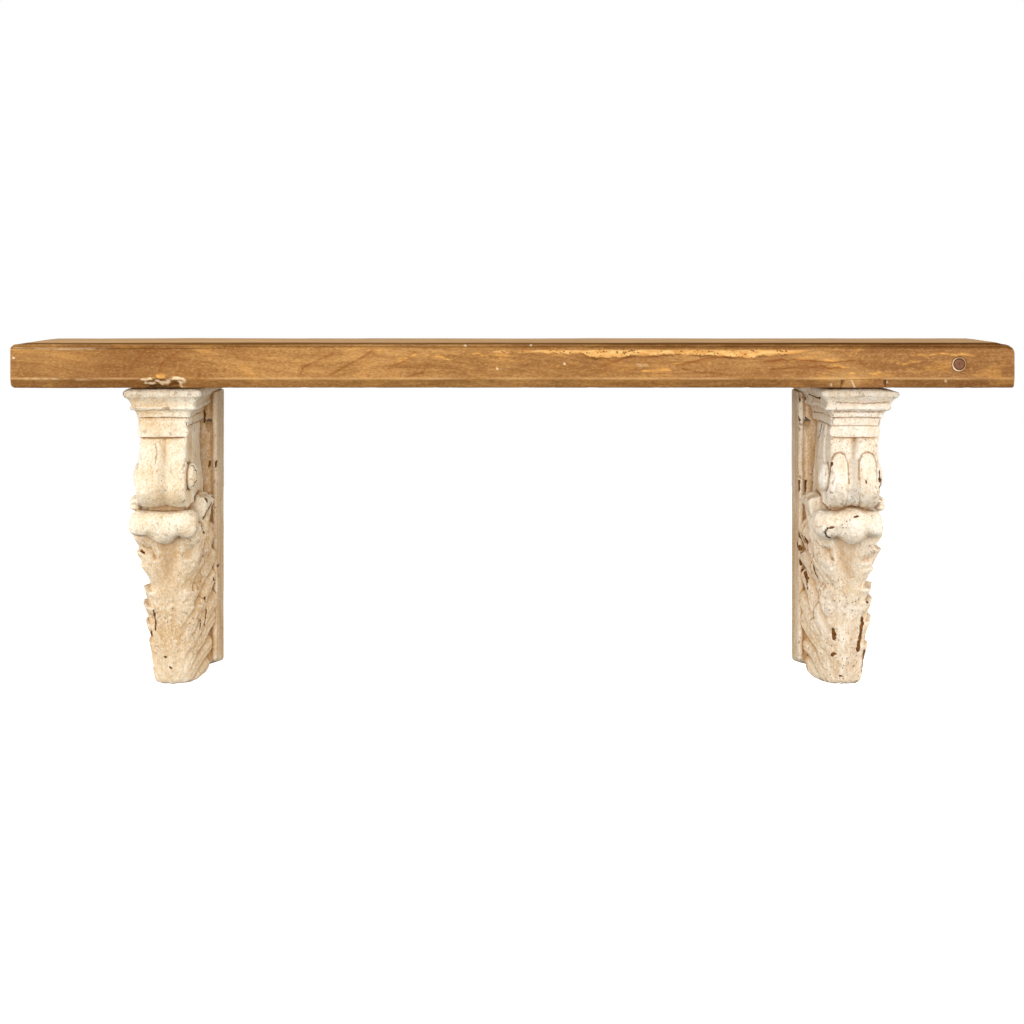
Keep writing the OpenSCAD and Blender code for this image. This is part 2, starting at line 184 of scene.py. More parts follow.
def outline(u, v, points):
    """Signed distance from a closed outline drawn in u and v, negative inside."""
    best = np.full(np.broadcast(u, v).shape, 1e9)
    sign = np.ones(best.shape)
    for (au, av), (bu, bv) in zip(points, points[1:] + points[:1]):
        eu, ev = bu - au, bv - av
        if math.hypot(eu, ev) < 1e-6:
            continue
        du, dv = u - au, v - av
        t = np.clip((du * eu + dv * ev) / (eu * eu + ev * ev), 0, 1)
        best = np.minimum(best, (du - eu * t) ** 2 + (dv - ev * t) ** 2)
        above = v >= av
        below = v < bv
        left = eu * dv > ev * du
        crossed = (above & below & left) | (~above & ~below & ~left)
        sign = np.where(crossed, -sign, sign)
    return sign * np.sqrt(best)


def stroke_distance(x, z, points):
    """Distance in a plane from a drawn line."""
    best = np.full(np.broadcast(x, z).shape, 1e9)
    for (ax, az), (bx, bz) in zip(points, points[1:]):
        ex, ez = bx - ax, bz - az
        t = np.clip(((x - ax) * ex + (z - az) * ez) / (ex * ex + ez * ez), 0, 1)
        best = np.minimum(best, np.hypot(x - ax - ex * t, z - az - ez * t))
    return best


def arc(cu, cv, r, start, end, steps=10):
    """Points on a circle's arc."""
    turns = np.radians(np.linspace(start, end, steps + 1))
    return [(cu + r * math.cos(a), cv + r * math.sin(a)) for a in turns]


def bend(a, b, c, steps=8):
    """Points on a smooth bend that leaves a towards b and ends at c."""
    a, b, c = np.array(a), np.array(b), np.array(c)
    ts = np.linspace(0, 1, steps + 1)
    return [tuple((1 - t) ** 2 * a + 2 * t * (1 - t) * b + t * t * c) for t in ts]


# ---------------------------------------------------------------- the corbel's sizes

# The cap with its top band, and the head under it, whose half width is HEAD
CAP_W, CAP_D, CAP_H = 80, 180, 32
BAND_H = 12.5
HEAD = 24
FLARE = CAP_W / 2 - HEAD
HEAD_FRONT = -(CAP_D - FLARE)
# The core and the back block with its bead and its sloping foot
CORE_W = 36
BLOCK_D = 54
BEAD_R = 2.5
BLOCK_SLOPE = 10
FOOT = -322
# The neck's rolls, the scroll with its roll and channel, and the leaf with its lip
NECK_STEP, NECK_FOOT = -41, -53
SCROLL_FRONT = HEAD_FRONT + 3.5
ROLL_Y, ROLL_Z, ROLL_R = -144.5, -101, 26.5
CHANNEL_HALF = 4.6
LIP_Y, LIP_Z = -141, -144.5
LEAF_T = 22
# The hanger plate's middle
PLATE_Z = -88
# The bosses' axis as y and z, and the radii of their edge, dome and ring
BOSS_Y, BOSS_Z = -145.5, -95
BOSS_R, DOME_R, RING_R = 14.5, 29, 8.6
# The pocket screw's mouth on the front of the back block, and the screw's tilt in degrees
POCKET = (31, -BLOCK_D, -50.5)
POCKET_TILT = 22
# How far from the front of the leaf its relief runs on over its sides
WRAP = 84


class Grid:
    """A lattice of points over a box in a corbel's frame."""

    def __init__(self, low, high):
        self.low = np.floor(np.array(low) / CELL) * CELL
        steps = np.ceil((np.array(high) - self.low) / CELL).astype(int) + 1
        self.shape = tuple(steps)
        lines = [self.low[i] + CELL * np.arange(steps[i]) for i in range(3)]
        self.x = lines[0].reshape(-1, 1, 1)
        self.y = lines[1].reshape(1, -1, 1)
        self.z = lines[2].reshape(1, 1, -1)

    def window(self, whole):
        """This lattice's place in the whole one."""
        start = np.round((self.low - whole.low) / CELL).astype(int)
        return tuple(slice(s, s + n) for s, n in zip(start, self.shape))

    def mirrored(self):
        """The same points with x turned round, for a piece of the outer side."""
        other = Grid.__new__(Grid)
        other.x, other.y, other.z = -self.x, self.y, self.z
        return other


def leaf_front(z):
    """How far the leaf stands out from the wall at a height."""
    t = np.clip((LIP_Z - z) / (LIP_Z - FOOT), 0, 1)
    return 134 * (1 - t) ** 2 + 2 * 108.8 * t * (1 - t) + 98 * t * t


# ---------------------------------------------------------------- the corbel's pieces


def back_block(g, style):
    """The block against the wall, beaded, sloped at its foot and hollow behind the plate."""
    solid = block(g, (-HEAD, -BLOCK_D, FOOT), (CAP_W / 2, 0, -BAND_H), 1.0)
    corner_x = g.x - (CAP_W / 2 - BEAD_R)
    corner_y = -(g.y + BLOCK_D - BEAD_R)
    corner = np.hypot(np.maximum(corner_x, 0), np.maximum(corner_y, 0)) - BEAD_R
    solid = common(solid, corner + 0 * g.z)
    quirk = np.hypot(g.x - 33.4, g.y + BLOCK_D) - 1.9
    solid = cut(solid, quirk, 0.5)
    stile = np.hypot(g.x - 40.6, g.y + 47) - 1.3
    solid = cut(solid, stile, 0.5)
    base = FOOT + 2 - BLOCK_SLOPE * g.y / BLOCK_D + 0.3 * np.maximum(g.x - 22, 0) - g.z
    solid = common(solid, base, 4)
    plate = np.hypot(g.x, np.maximum(abs(g.z - PLATE_Z) - 17, 0)) - 9.1
    solid = cut(solid, np.maximum(plate, -2.2 - g.y))
    rise = np.clip(g.z, -92, -80) - g.z
    cavity = np.hypot(g.x, rise) - 7
    solid = cut(solid, np.maximum(cavity, -14 - g.y))
    tilt = math.radians(POCKET_TILT)
    along = np.array((0, math.sin(tilt), math.cos(tilt)))
    return cut(solid, limb(g, POCKET - 16 * along, POCKET + 5 * along, 4, 4))


def core_block(g, style):
    """The head under the plank, and the narrow core behind the scroll and the leaf."""
    head = block(g, (-HEAD, HEAD_FRONT, NECK_STEP), (HEAD, -BLOCK_D + 3, -2.4), 0.6)
    top = block(g, (-HEAD, HEAD_FRONT + 12, -BAND_H - 1), (HEAD, 0, -0.3), 0.6)
    neck = block(g, (-CORE_W / 2, LIP_Y, LIP_Z), (CORE_W / 2, -BLOCK_D + 3, NECK_STEP + 2), 2)
    behind = np.maximum(-(g.y + leaf_front(g.z) - 8), g.y + BLOCK_D - 3)
    low = np.maximum(abs(g.x) - CORE_W / 2, behind)
    low = common(low, np.maximum(g.z - LIP_Z, FOOT + 2 - g.z), 5)
    return join(join(head, top), join(neck, low))


def cap_outline():
    """The cap's profile: how far it stands out from the head, against height."""
    cove = FLARE - 3
    points = [(-3, -2.4)]
    points += arc(FLARE - 5.0, -7.4, 5.0, 90, 0)
    points += arc(FLARE - 5.0, -BAND_H + 5.0, 5.0, 0, -90)
    points += bend((cove, -BAND_H), (9.8, -BAND_H - 1.5), (8.2, -20))
    points += arc(7.6, -22.2, 2.2, 70, -90, 6)
    points += bend((6.6, -24.6), (3, -26), (2.5, -CAP_H))
    return points + [(-3, -CAP_H)]


def cap_front(g, style):
    """The cap's moulding across the front, mitred at both ends."""
    out = -g.y + HEAD_FRONT
    solid = outline(out, g.z, cap_outline())
    solid = np.maximum(solid, abs(g.x) - HEAD - out)
    return cut(solid, worn_corner(g, style), 1.5)


def worn_corner(g, style):
    """What wear has taken off the cap's outer top corner."""
    return -(g.z + 0.9 + style["cap_wear"] * np.maximum(-g.x - 14, 0))


def cap_side(g, style):
    """The cap's moulding along one side, with only its top band past the back block."""
    out = g.x - HEAD
    solid = outline(out, g.z, cap_outline())
    solid = np.maximum(solid, -g.y + HEAD_FRONT - out)
    short = np.maximum(solid, g.y + BLOCK_D)
    band = np.maximum(np.maximum(solid, g.y), -BAND_H - g.z)
    return join(short, band)


def cap_outer(g, style):
    """The outer side's moulding, with its top corner worn off."""
    return cut(cap_side(g.mirrored(), style), worn_corner(g, style), 1.5)


def neck_front(g, style):
    """The two rolls under the cap."""
    face = block(g, (-24.6, HEAD_FRONT - 0.4, NECK_FOOT), (24.6, -150, -CAP_H), 1.0)
    upper = block(g, (-25.8, HEAD_FRONT - 2.6, -40.4), (25.8, -150, -33.2), 3.4)
    lower = block(g, (-26.2, HEAD_FRONT - 4.4, NECK_FOOT), (26.2, -150, -41.8), 5.0)
    return join(face, join(upper, lower))


def neck_side(g, style):
    """The upper roll's return along one side."""
    out = g.x - HEAD
    band = block(g, (22, HEAD_FRONT - 9, -41), (26, -BLOCK_D, -32), 1.2)
    return np.maximum(band, -g.y + HEAD_FRONT - out)


def neck_outer(g, style):
    """The return along the outer side."""
    return neck_side(g.mirrored(), style)


def scroll_outline():
    """The scroll seen from the side: a long brow that swells into a roll."""
    points = [(-50, NECK_STEP), (SCROLL_FRONT + 1.5, NECK_STEP)]
    points += bend((SCROLL_FRONT + 0.5, NECK_FOOT), (-168, -72), (-171, ROLL_Z), 30)
    points += arc(ROLL_Y, ROLL_Z, ROLL_R, 180, 290, 36)
    return points + [(-100, -127), (-50, -124)]


def scroll_hollow():
    """The hollow behind the scroll's neck, with its S-shaped edge."""
    points = [(-81, NECK_STEP + 2)]
    points += bend((-81, -48), (-79, -74), (-68, -88), 8)
    points += bend((-68, -88), (-59, -98), (-57, -122), 8)
    return points + [(-40, -122), (-40, NECK_STEP + 2)]


def channel(g, style, middle, width):
    """How deep the scroll's channel is, which starts softly and runs out in the roll."""
    start = style["channel_top"]
    above = np.maximum(g.z - start, 0)
    across = np.hypot(middle, 0.6 * above) / width
    depth = style["channel_depth"] * np.exp(-(across**4)) * smooth_step(-g.z, -start - 14, -start + 10)
    return depth * (1 - 0.75 * smooth_step(-g.z, 108, 124))


def reeded_scroll(g, style):
    """The scroll, with a channel down its middle and an arched line round each reed."""
    side = outline(g.y, g.z, scroll_outline())
    hollow = outline(g.y, g.z, scroll_hollow())
    half = 25.2 + (g.x < 0) * (1.4 + 2.2 * smooth_step(-g.z, 60, 100) + style["scroll_out"])
    solid = common(cut(side, hollow, 2), abs(g.x) - half, 3.5)
    middle = g.x - style["channel_x"]
    width = CHANNEL_HALF + 0.05 * np.maximum(-g.z - 70, 0)
    from_axis = abs(abs(middle) - width - 9.5)
    from_end = np.hypot(from_axis, np.maximum(g.z + 78, 0)) - 9.4
    line = hump(from_end, 1.5) * smooth_step(-g.z, 56, 64)
    line = line * smooth_step(half - 1.5 - abs(g.x), 0, 2.5)
    depth = channel(g, style, middle, width) + style["reed_line"] * line * (g.y < -135)
    from_reed = np.maximum(abs(abs(middle) - width - 7.5) - 4, 0)
    return solid + depth + 0.05 * from_reed**1.6 * (g.y < -130)


def boss(g, style):
    """The domed boss on the scroll's side, with a ring cut round its middle."""
    from_axis = np.hypot(g.y - BOSS_Y, g.z - BOSS_Z)
    dome = np.sqrt((g.x - 4) ** 2 + (g.y - BOSS_Y) ** 2 + (g.z - BOSS_Z) ** 2) - DOME_R
    solid = common(common(from_axis - BOSS_R, dome, 3), 20 - g.x)
    ring = abs(from_axis - RING_R) - 0.6
    return cut(solid, np.maximum(ring, 30 - g.x), 0.8)


def outer_boss(g, style):
    """The same on the outer side."""
    return boss(g.mirrored(), style)


def lumps(g, size, seed):
    """Noise over a whole lattice."""
    return noise(np.stack(np.broadcast_arrays(g.x, g.y, g.z), axis=-1), size, seed)


def leaf_lip(g, style):
    """The leaf's rolled-over tip: a soft roll, lobes along its edge and a nub at its outer end."""
    low, high = style["lip_ends"]
    solid = block(g, (low, -154.5, -156), (high, -124, -131.5), 8)
    bulge = limb(g, (low + 17, -146, -143.5), (high - 17, -146, -143.5), 11.8, 11.8)
    solid = join(solid, bulge, 3)
    lobes = None
    for x, z, rx, ry, rz in style["lip_lobes"]:
        lobe = egg(g, (x, -143, z - 2.5), (rx, ry, rz))
        lobes = lobe if lobes is None else join(lobes, lobe, 2.2)
    solid = join(solid, lobes, 4)
    upper_nub = egg(g, (-31, -131, -121.5), (8.5, 11, 5.5))
    lower_nub = egg(g, (-34, -128, -128.5), (6.5, 10, 4.5))
    solid = join(solid, join(upper_nub, lower_nub, 1), 1.5)
    solid = solid + 0.9 * lumps(g, 11, style["seed"] + 50) + 0.5 * lumps(g, 5, style["seed"] + 51)
    under = egg(g, (0, -124, -174.5), (40, 16, 9))
    return cut(solid, under, 1.5)


# The leaf's blades on its unrolled surface, as distance from the midrib round onto the side and
# height: root, bend and tip, then the half width and how much the blade stands up
BLADES = (
    ((3, -330), (30, -322), (78, -306), 7.5, 3.2),
    ((3, -326), (30, -306), (76, -284), 8.5, 3.8),
    ((3, -322), (24, -290), (70, -258), 9.0, 4.2),
    ((3, -316), (14, -276), (46, -240), 8.5, 3.6),
    ((4, -296), (34, -268), (78, -238), 9.0, 4.6),
    ((4, -288), (28, -250), (74, -212), 9.5, 5.0),
    ((4, -276), (16, -232), (44, -192), 9.0, 4.0),
    ((5, -246), (36, -214), (80, -190), 9.5, 4.8),
    ((5, -238), (32, -198), (78, -160), 10.5, 5.4),
    ((5, -230), (26, -180), (62, -128), 11.0, 5.4),
    ((4, -222), (14, -180), (30, -146), 9.0, 4.0),
    ((1, -310), (8, -220), (19, -152), 6.5, 4.6),
)
# Where the carver drilled between two lobes: place, then how far the hole runs on down the furrow
EYES = (
    ((43, -249), (27, -268)),
    ((40, -200), (26, -220)),
    ((52, -168), (36, -190)),
    ((22, -166), (16, -184)),
    ((50, -283), (32, -297)),
)
MAP_CELL = 0.8
MAP_LOW = (-104.0, -330.0)
MAP_SIZE = (261, 288)
FOLD = 18


def blade_height(s, z, root, turn, tip, half, rise):
    """How high one blade stands at each place: a ridge with a cut along its middle."""
    line = bend(root, turn, tip, 10)
    best = np.full(s.shape, 1e9)
    along = np.zeros(s.shape)
    for i, (a, b) in enumerate(zip(line, line[1:])):
        e = np.subtract(b, a)
        t = np.clip(((s - a[0]) * e[0] + (z - a[1]) * e[1]) / e.dot(e), 0, 1)
        d = np.hypot(s - a[0] - e[0] * t, z - a[1] - e[1] * t)
        along = np.where(d < best, (i + t) / 10, along)
        best = np.minimum(best, d)
    width = half * (0.45 + 1.5 * along * (1 - 0.72 * along))
    across = best / width
    ridge = rise * (0.45 + 0.55 * along) * (1 - across**2)
    vein = 1.3 * hump(best, 1.1) * smooth_step(along, 0.15, 0.4)
    return np.maximum(ridge, -6) - vein


def leaf_map(seed):
    """The whole leaf's relief over its unrolled surface, uneven as if cut by hand."""
    s = (MAP_LOW[0] + MAP_CELL * np.arange(MAP_SIZE[0]))[:, None] + np.zeros(MAP_SIZE)
    z = (MAP_LOW[1] + MAP_CELL * np.arange(MAP_SIZE[1]))[None, :] + np.zeros(MAP_SIZE)
    places = np.stack([s, z, 0 * s], axis=-1)
    s = abs(s + 2.6 * noise(places, 26, seed + 20) + 0.8 * noise(places, 8, seed + 21))
    z = z + 4.0 * noise(places, 30, seed + 22) + 1.0 * noise(places, 9, seed + 23)
    height = -1.4 - 2.8 * smooth_step(s, 42, 76)
    for root, turn, tip, half, rise in BLADES:
        height = np.maximum(height, blade_height(s, z, root, turn, tip, half, rise))
    for high, low in EYES:
        hole = np.clip(1 - stroke_distance(s, z, (high, low)) / 3.2, 0, 1)
        height = height - 4.5 * hole
    calm = 0.75 + 0.25 * smooth_step(s, 6, 26)
    midrib = 1.4 * hump(s, 3.0) * smooth_step(-z, 170, 250)
    return height * calm + midrib


def map_value(table, s, z):
    """The relief at places on the unrolled surface."""
    u = np.clip((s - MAP_LOW[0]) / MAP_CELL, 0, MAP_SIZE[0] - 1.001)
    v = np.clip((z - MAP_LOW[1]) / MAP_CELL, 0, MAP_SIZE[1] - 1.001)
    i, j = u.astype(int), v.astype(int)
    p, q = u - i, v - j
    near = table[i, j] * (1 - q) + table[i, j + 1] * q
    far = table[i + 1, j] * (1 - q) + table[i + 1, j + 1] * q
    return near * (1 - p) + far * p


# Half the leaf's width along its front corners, against height
EDGE_HEIGHTS = (-322, -291, -254, -239, -223, -213, -200, -190, -175, -160, -146)
EDGE_HALVES = (18.5, 19, 20, 21, 20, 17, 22, 26, 29, 32, 32)
# Half its width where it meets the back block, on its outer and on its inner side
WALL_HEIGHTS = (-322, -290, -239, -217, -190, -160, -110)
OUTER_WALL = (25.5, 27.5, 29.5, 26.5, 30, 33, 31)
INNER_WALL = (28, 32, 36.5, 34.5, 36, 37, 34)
# Each tooth of the leaf's edge: its tip's height, its root's height and how far it stands out
TEETH = {
    "left": (
        (-161, -176, 3.0), (-178, -191, 4.0), (-192, -207, 3.5), (-221, -236, 5.5),
        (-238, -256, 5.5), (-258, -274, 4.0), (-278, -294, 2.2),
    ),
    "right": (
        (-158, -170, 3.0), (-175, -194, 6.0), (-196, -210, 3.0), (-218, -230, 7.5),
        (-232, -250, 6.0), (-254, -274, 5.0), (-280, -304, 3.0),
    ),
}


def teeth(z, style):
    """The serrated edge: each tooth juts out at its tip and runs back in to its root."""
    out = 0 * z
    for tip, root, rise in style["teeth"]:
        t = np.clip((z - root) / (tip - root), 0, 1)
        out = np.maximum(out, rise * t**1.5 * smooth_step(tip + 2.2 - z, 0, 2.2))
    return out


def furrow(points, style):
    """How deep in the leaf's relief each point of its surface lies: 1 in a furrow, 0 on a ridge."""
    x, y, z = points.T
    s = np.minimum(abs(x), FOLD) + np.clip(y + leaf_front(z), 0, WRAP)
    relief = map_value(style["leaf_map"], np.where(x < 0, -s, s), z)
    return (1 - smooth_step(relief, -1.2, 2.4)) * smooth_step(-z, 146, 152)


def leaf_body(g, style):
    """The leaf wrapped round the corbel's front and sides, wider towards the wall."""
    front = leaf_front(g.z)
    depth = g.y + front
    s = np.minimum(abs(g.x), FOLD) + np.clip(depth, 0, WRAP) + 0 * g.z
    relief = map_value(style["leaf_map"], np.where(g.x < 0, -s, s), g.z + 0 * s)
    near = np.interp(g.z, EDGE_HEIGHTS, EDGE_HALVES)
    near = near + np.where(g.x < 0, 1, 0.3) * teeth(g.z, style) - 1.5 * (g.x > 0)
    outer_wall = np.interp(g.z, WALL_HEIGHTS, OUTER_WALL) + 1.2 * teeth(g.z, style)
    wall = np.where(g.x < 0, outer_wall, np.interp(g.z, WALL_HEIGHTS, INNER_WALL))
    back = np.clip(depth / (front - 56), 0, 1)
    side = abs(g.x) - near - (wall - near) * back
    plain = common(-depth + 0 * g.x, side, 12)
    top = g.z + 147 - 30 * smooth_step(depth, 20, 44) + 16 * smooth_step(depth, 54, 78)
    limits = np.maximum(top, FOOT + 0.5 - g.z)
    solid = common(plain - relief, limits, 7)
    return np.maximum(solid, g.y + BLOCK_D - 2)


def acanthus_leaf(g, style):
    """The front layer of the leaf."""
    return np.maximum(leaf_body(g, style), g.y + leaf_front(g.z) - LEAF_T)


def curled_tip(g):
    """The leaf's side tip, which curls outwards beside the scroll's roll."""
    crown = egg(g, (23, -94, -135.5), (15.5, 36, 18.5))
    fold = limb(g, (33, -112, -126), (35, -78, -127), 5, 6)
    return join(crown, fold, 3)


def curl_hollow(g):
    """The hollow under the curled tip."""
    return limb(g, (39, -118, -142), (44, -72, -134), 4, 6)


def side_lobes(g, style, seen):
    """One side's lobes. The lattice is also given as seen from that side, x outwards."""
    solid = join(leaf_body(g, style), curled_tip(seen), 4)
    solid = cut(solid, curl_hollow(seen), 1.5)
    return np.maximum(solid, np.maximum(LEAF_T - g.y - leaf_front(g.z), 14 - seen.x))


def inner_lobes(g, style):
    """The lobes of the leaf on the side that faces the middle of the shelf."""
    return side_lobes(g, style, g)


def outer_lobes(g, style):
    """The lobes of the leaf on the corbel's outer side."""
    return side_lobes(g, style, g.mirrored())


# Each carved piece: how it is made and the box that holds it
CARVED = {
    "back_block": (back_block, (-41, -56, -323), (41, 1, -12)),
    "core_block": (core_block, (-26, -158, -323), (26, 1, 1)),
    "cap_front_moulding": (cap_front, (-42, -182, -33), (42, -154, 1)),
    "cap_inner_moulding": (cap_side, (22, -182, -33), (42, 1, 1)),
    "cap_outer_moulding": (cap_outer, (-42, -182, -33), (-22, 1, 1)),
    "neck_front_moulding": (neck_front, (-29, -162, -55), (29, -148, -30)),
    "neck_inner_moulding": (neck_side, (20, -162, -43), (29, -52, -30)),
    "neck_outer_moulding": (neck_outer, (-29, -162, -43), (-20, -52, -30)),
    "reeded_scroll": (reeded_scroll, (-27, -174, -131), (27, -48, -39)),
    "inner_boss": (boss, (18, -162, -112), (36, -129, -78)),
    "outer_boss": (outer_boss, (-36, -162, -112), (-18, -129, -78)),
    "leaf_lip": (leaf_lip, (-42, -166, -170), (42, -118, -112)),
    "acanthus_leaf": (acanthus_leaf, (-40, -146, -324), (40, -70, -124)),
    "inner_lobes": (inner_lobes, (12, -146, -324), (46, -50, -100)),
    "outer_lobes": (outer_lobes, (-46, -146, -324), (-12, -50, -100)),
}
LEAF_PIECES = ("acanthus_leaf", "inner_lobes", "outer_lobes")
WHOLE_LOW = (-46, -188, -330)
WHOLE_HIGH = (46, 6, 8)

# What differs between the two hand-carved corbels
STYLES = {
    "left": {
        "seed": 11,
        "teeth": TEETH["left"],
        "shift": -1.0,
        "lean": 2.0,
        "lean_from": -50,
        "scroll_out": 0.0,
        "cap_wear": 0.0,
        "channel_x": 1.6,
        "channel_top": -62,
        "channel_depth": 2.3,
        "reed_line": 0.5,
        "lip_ends": (-37, 32),
        "lip_lobes": (
            (-3.4, -149, 16.5, 12, 14.5),
            (-28, -144, 10, 11.5, 10.5),
            (22, -146.5, 10.5, 12, 11.5),
        ),
    },
    "right": {
        "seed": 47,
        "teeth": TEETH["right"],
        "shift": -0.5,
        "lean": -5.0,
        "lean_from": -78,
        "scroll_out": 1.6,
        "cap_wear": 0.2,
        "channel_x": -1.0,
        "channel_top": -58,
        "channel_depth": 3.0,
        "reed_line": 2.2,
        "lip_ends": (-33, 37),
        "lip_lobes": (
            (-2.5, -144, 18, 17.5, 19.5),
            (-25, -146, 9, 13, 11),
            (24, -146, 13, 12, 11.5),
        ),
    },
}


# Cracks and chips in the paint, by the way that the surface faces: half the width of each, then
# its line in the corbel's frame, as x and z on the front or as y and z on the inner side
SCARS = {
    "left": {
        "front": (
            (0.7, (40.5, -4), (41.5, -10)), (0.7, (26, -33), (26.5, -46)),
            (1.2, (-29, -176), (-26, -178)), (0.6, (-18, -240), (-17, -262)),
            (0.7, (-22, -264), (-22, -270)), (1.3, (-2, -302), (-1, -303)),
            (0.8, (-8, -291), (-7, -291.5)),
        ),
        "inner": (
            (0.7, (-158, -78), (-150, -84), (-146, -98), (-158, -108)), (2.6, (-70, -50), (-68, -56)),
            (2.8, (-114, -121.5), (-109, -124)), (1.7, (-92, -129), (-108, -141), (-122, -152)),
            (0.9, (-88, -120), (-76, -126), (-70, -137), (-76, -147)),
            (0.9, (-122, -150), (-112, -158)), (1.0, (-62, -214), (-60, -218)),
            (1.4, (-84, -231), (-82, -233)), (0.7, (-76, -246), (-80, -262)),
            (0.7, (-86, -256), (-90, -264)), (1.3, (-50, -203), (-34, -204)),
            (1.0, (-40, -213), (-38, -217)), (1.3, (-52, -88), (-54, -94)),
        ),
    },
    "right": {
        "front": (
            (1.0, (-28, -88), (-27, -98)), (1.6, (-30, -98), (-29, -108)),
            (0.6, (-12, -96), (-12.5, -99)),
            (0.7, (19, -147), (25, -148), (28, -152), (26, -157), (21, -159)),
            (2.0, (11, -262), (10, -270)), (1.8, (10, -287), (12, -289)),
            (1.6, (-19, -250), (-17, -270), (-15, -284)), (1.9, (-24, -286), (-23, -308)),
            (1.5, (-25, -226), (-24, -232)), (1.1, (2, -312), (3, -312)), (0.9, (-6, -135), (-2, -136)),
            (1.5, (38.5, -166), (36.5, -171)), (1.5, (39, -180), (37, -183)),
            (1.4, (39, -196), (38, -200)), (1.7, (36, -206), (34, -212)),
        ),
        "inner": (
            (0.8, (-150, -12), (-120, -16), (-84, -14)), (0.9, (-72, -14), (-71, -34)),
            (1.6, (-104, -44), (-102, -58)), (2.0, (-164, -80), (-162, -92)),
            (2.6, (-64, -164), (-66, -172)), (2.4, (-60, -180), (-63, -184)),
            (0.9, (-90, -196), (-96, -210)), (1.8, (-70, -214), (-74, -222)),
            (2.0, (-49, -164), (-54, -170)), (2.4, (-38, -178), (-52, -183)),
            (1.3, (-51, -17), (-53, -21)), (1.5, (-50, -39), (-53, -43)),
            (1.2, (-53, -110), (-52, -121)),
        ),
    },
}

# Lines of old dirt in the grooves and cracks of the paint, placed in the same way
STAINS = {
    "left": {
        "front": (
            (0.7, (-7, -60), (-6, -68), (-7.5, -80)), (0.8, (-30, -22), (-8, -24), (6, -23)),
            (0.9, (-24, -53.5), (0, -54.5), (22, -53)),
        ),
        "inner": (
            (1.0, (-70, -60), (-66, -90), (-60, -112)), (1.0, (-110, -166), (-96, -190), (-88, -214)),
            (0.9, (-104, -206), (-92, -226), (-80, -238)),
        ),
    },
    "right": {
        "front": (
            (0.9, (-23.5, -98), (-23.6, -78), (-20, -70.5), (-15, -68.2)),
            (0.9, (-15, -68.2), (-10, -70), (-6.5, -77), (-6, -96)),
            (0.9, (4.5, -100), (5, -80), (8.5, -71.5), (13, -68.4), (19, -70), (22.5, -76)),
            (0.8, (-24, -41.2), (0, -41), (24, -41.4)), (0.8, (-30, -16), (-6, -18), (24, -16)),
            (0.8, (-26, -26), (0, -27), (24, -26)),
        ),
        "inner": (
            (1.0, (-60, -40), (-62, -80), (-60, -110)), (1.0, (-96, -166), (-88, -186), (-84, -206)),
            (0.9, (-104, -214), (-92, -240), (-80, -256)),
        ),
    },
}

# ---------------------------------------------------------------- from distances to meshes


def surface_net(field, low):
    """Vertices and quads over the surface where the field changes sign."""
    inside = field < 0
    size = np.array(field.shape) - 1
    count = np.zeros(size, np.int8)
    for corner in np.ndindex(2, 2, 2):
        count += inside[tuple(slice(c, c + n) for c, n in zip(corner, size))]
    mixed = (count > 0) & (count < 8)
    cells = np.argwhere(mixed)
    index = np.full(mixed.shape, -1)
    index[mixed] = np.arange(len(cells))
    total = np.zeros((len(cells), 3))
    hits = np.zeros(len(cells))
    for axis in range(3):
        unit = np.eye(3, dtype=int)[axis]
        for corner in np.ndindex(2, 2, 2):
            if corner[axis]:
                continue
            a = cells + corner
            b = a + unit
            fa = field[a[:, 0], a[:, 1], a[:, 2]]
            fb = field[b[:, 0], b[:, 1], b[:, 2]]
            crossed = (fa < 0) != (fb < 0)
            t = np.where(crossed, fa / np.where(fa == fb, 1, fa - fb), 0)
            total += crossed[:, None] * (corner + t[:, None] * unit)
            hits += crossed
    vertices = low + CELL * (cells + total / hits[:, None])
    return vertices, net_quads(inside, index)


def net_quads(inside, index):
    """One quad round each lattice edge that crosses the surface."""
    quads = []
    for axis in range(3):
        u, v = np.eye(3, dtype=int)[[(axis + 1) % 3, (axis + 2) % 3]]
        size = list(inside.shape)
        size[axis] -= 1
        first = inside[tuple(slice(0, n) for n in size)]
        second = inside[tuple(slice(int(i == axis), int(i == axis) + n) for i, n in enumerate(size))]
        for rising in (False, True):
            at = np.argwhere((first & ~second) if rising else (~first & second))
            others = [i for i in range(3) if i != axis]
            keep = np.all(at[:, others] > 0, axis=1)
            keep &= np.all(at[:, others] < np.array(inside.shape)[others] - 1, axis=1)
            at = at[keep]
            ring = [at, at - u, at - u - v, at - v]
            if not rising:
                ring.reverse()
            quads.append(np.stack([index[r[:, 0], r[:, 1], r[:, 2]] for r in ring], axis=1))
    return np.concatenate(quads)


def drop_crumbs(vertices, quads, least=400):
    """Leaves out loose bits with fewer vertices than that."""
    label = np.arange(len(vertices))
    while True:
        lowest = label[quads].min(axis=1)
        fresh = label.copy()
        np.minimum.at(fresh, quads.ravel(), np.repeat(lowest, 4))
        fresh = fresh[fresh]
        if np.array_equal(fresh, label):
            break
        label = fresh
    size = np.bincount(label, minlength=len(vertices))
    keep = size[label] >= min(least, size.max())
    number = np.cumsum(keep) - 1
    return vertices[keep], number[quads[keep[quads[:, 0]]]]


def blur(field, radius):
    """The field's mean over about that radius, in mm."""
    steps = max(1, int(round(radius / CELL)))
    for _ in range(2):
        for axis in range(3):
            wide = np.pad(field, [(steps + 1, steps) if i == axis else (0, 0) for i in range(3)], "edge")
            sums = np.cumsum(wide, axis=axis, dtype=np.float64)
            n = 2 * steps + 1
            upper = np.take(sums, range(n, sums.shape[axis]), axis=axis)
            lower = np.take(sums, range(0, sums.shape[axis] - n), axis=axis)
            field = ((upper - lower) / n).astype(np.float32)
    return field


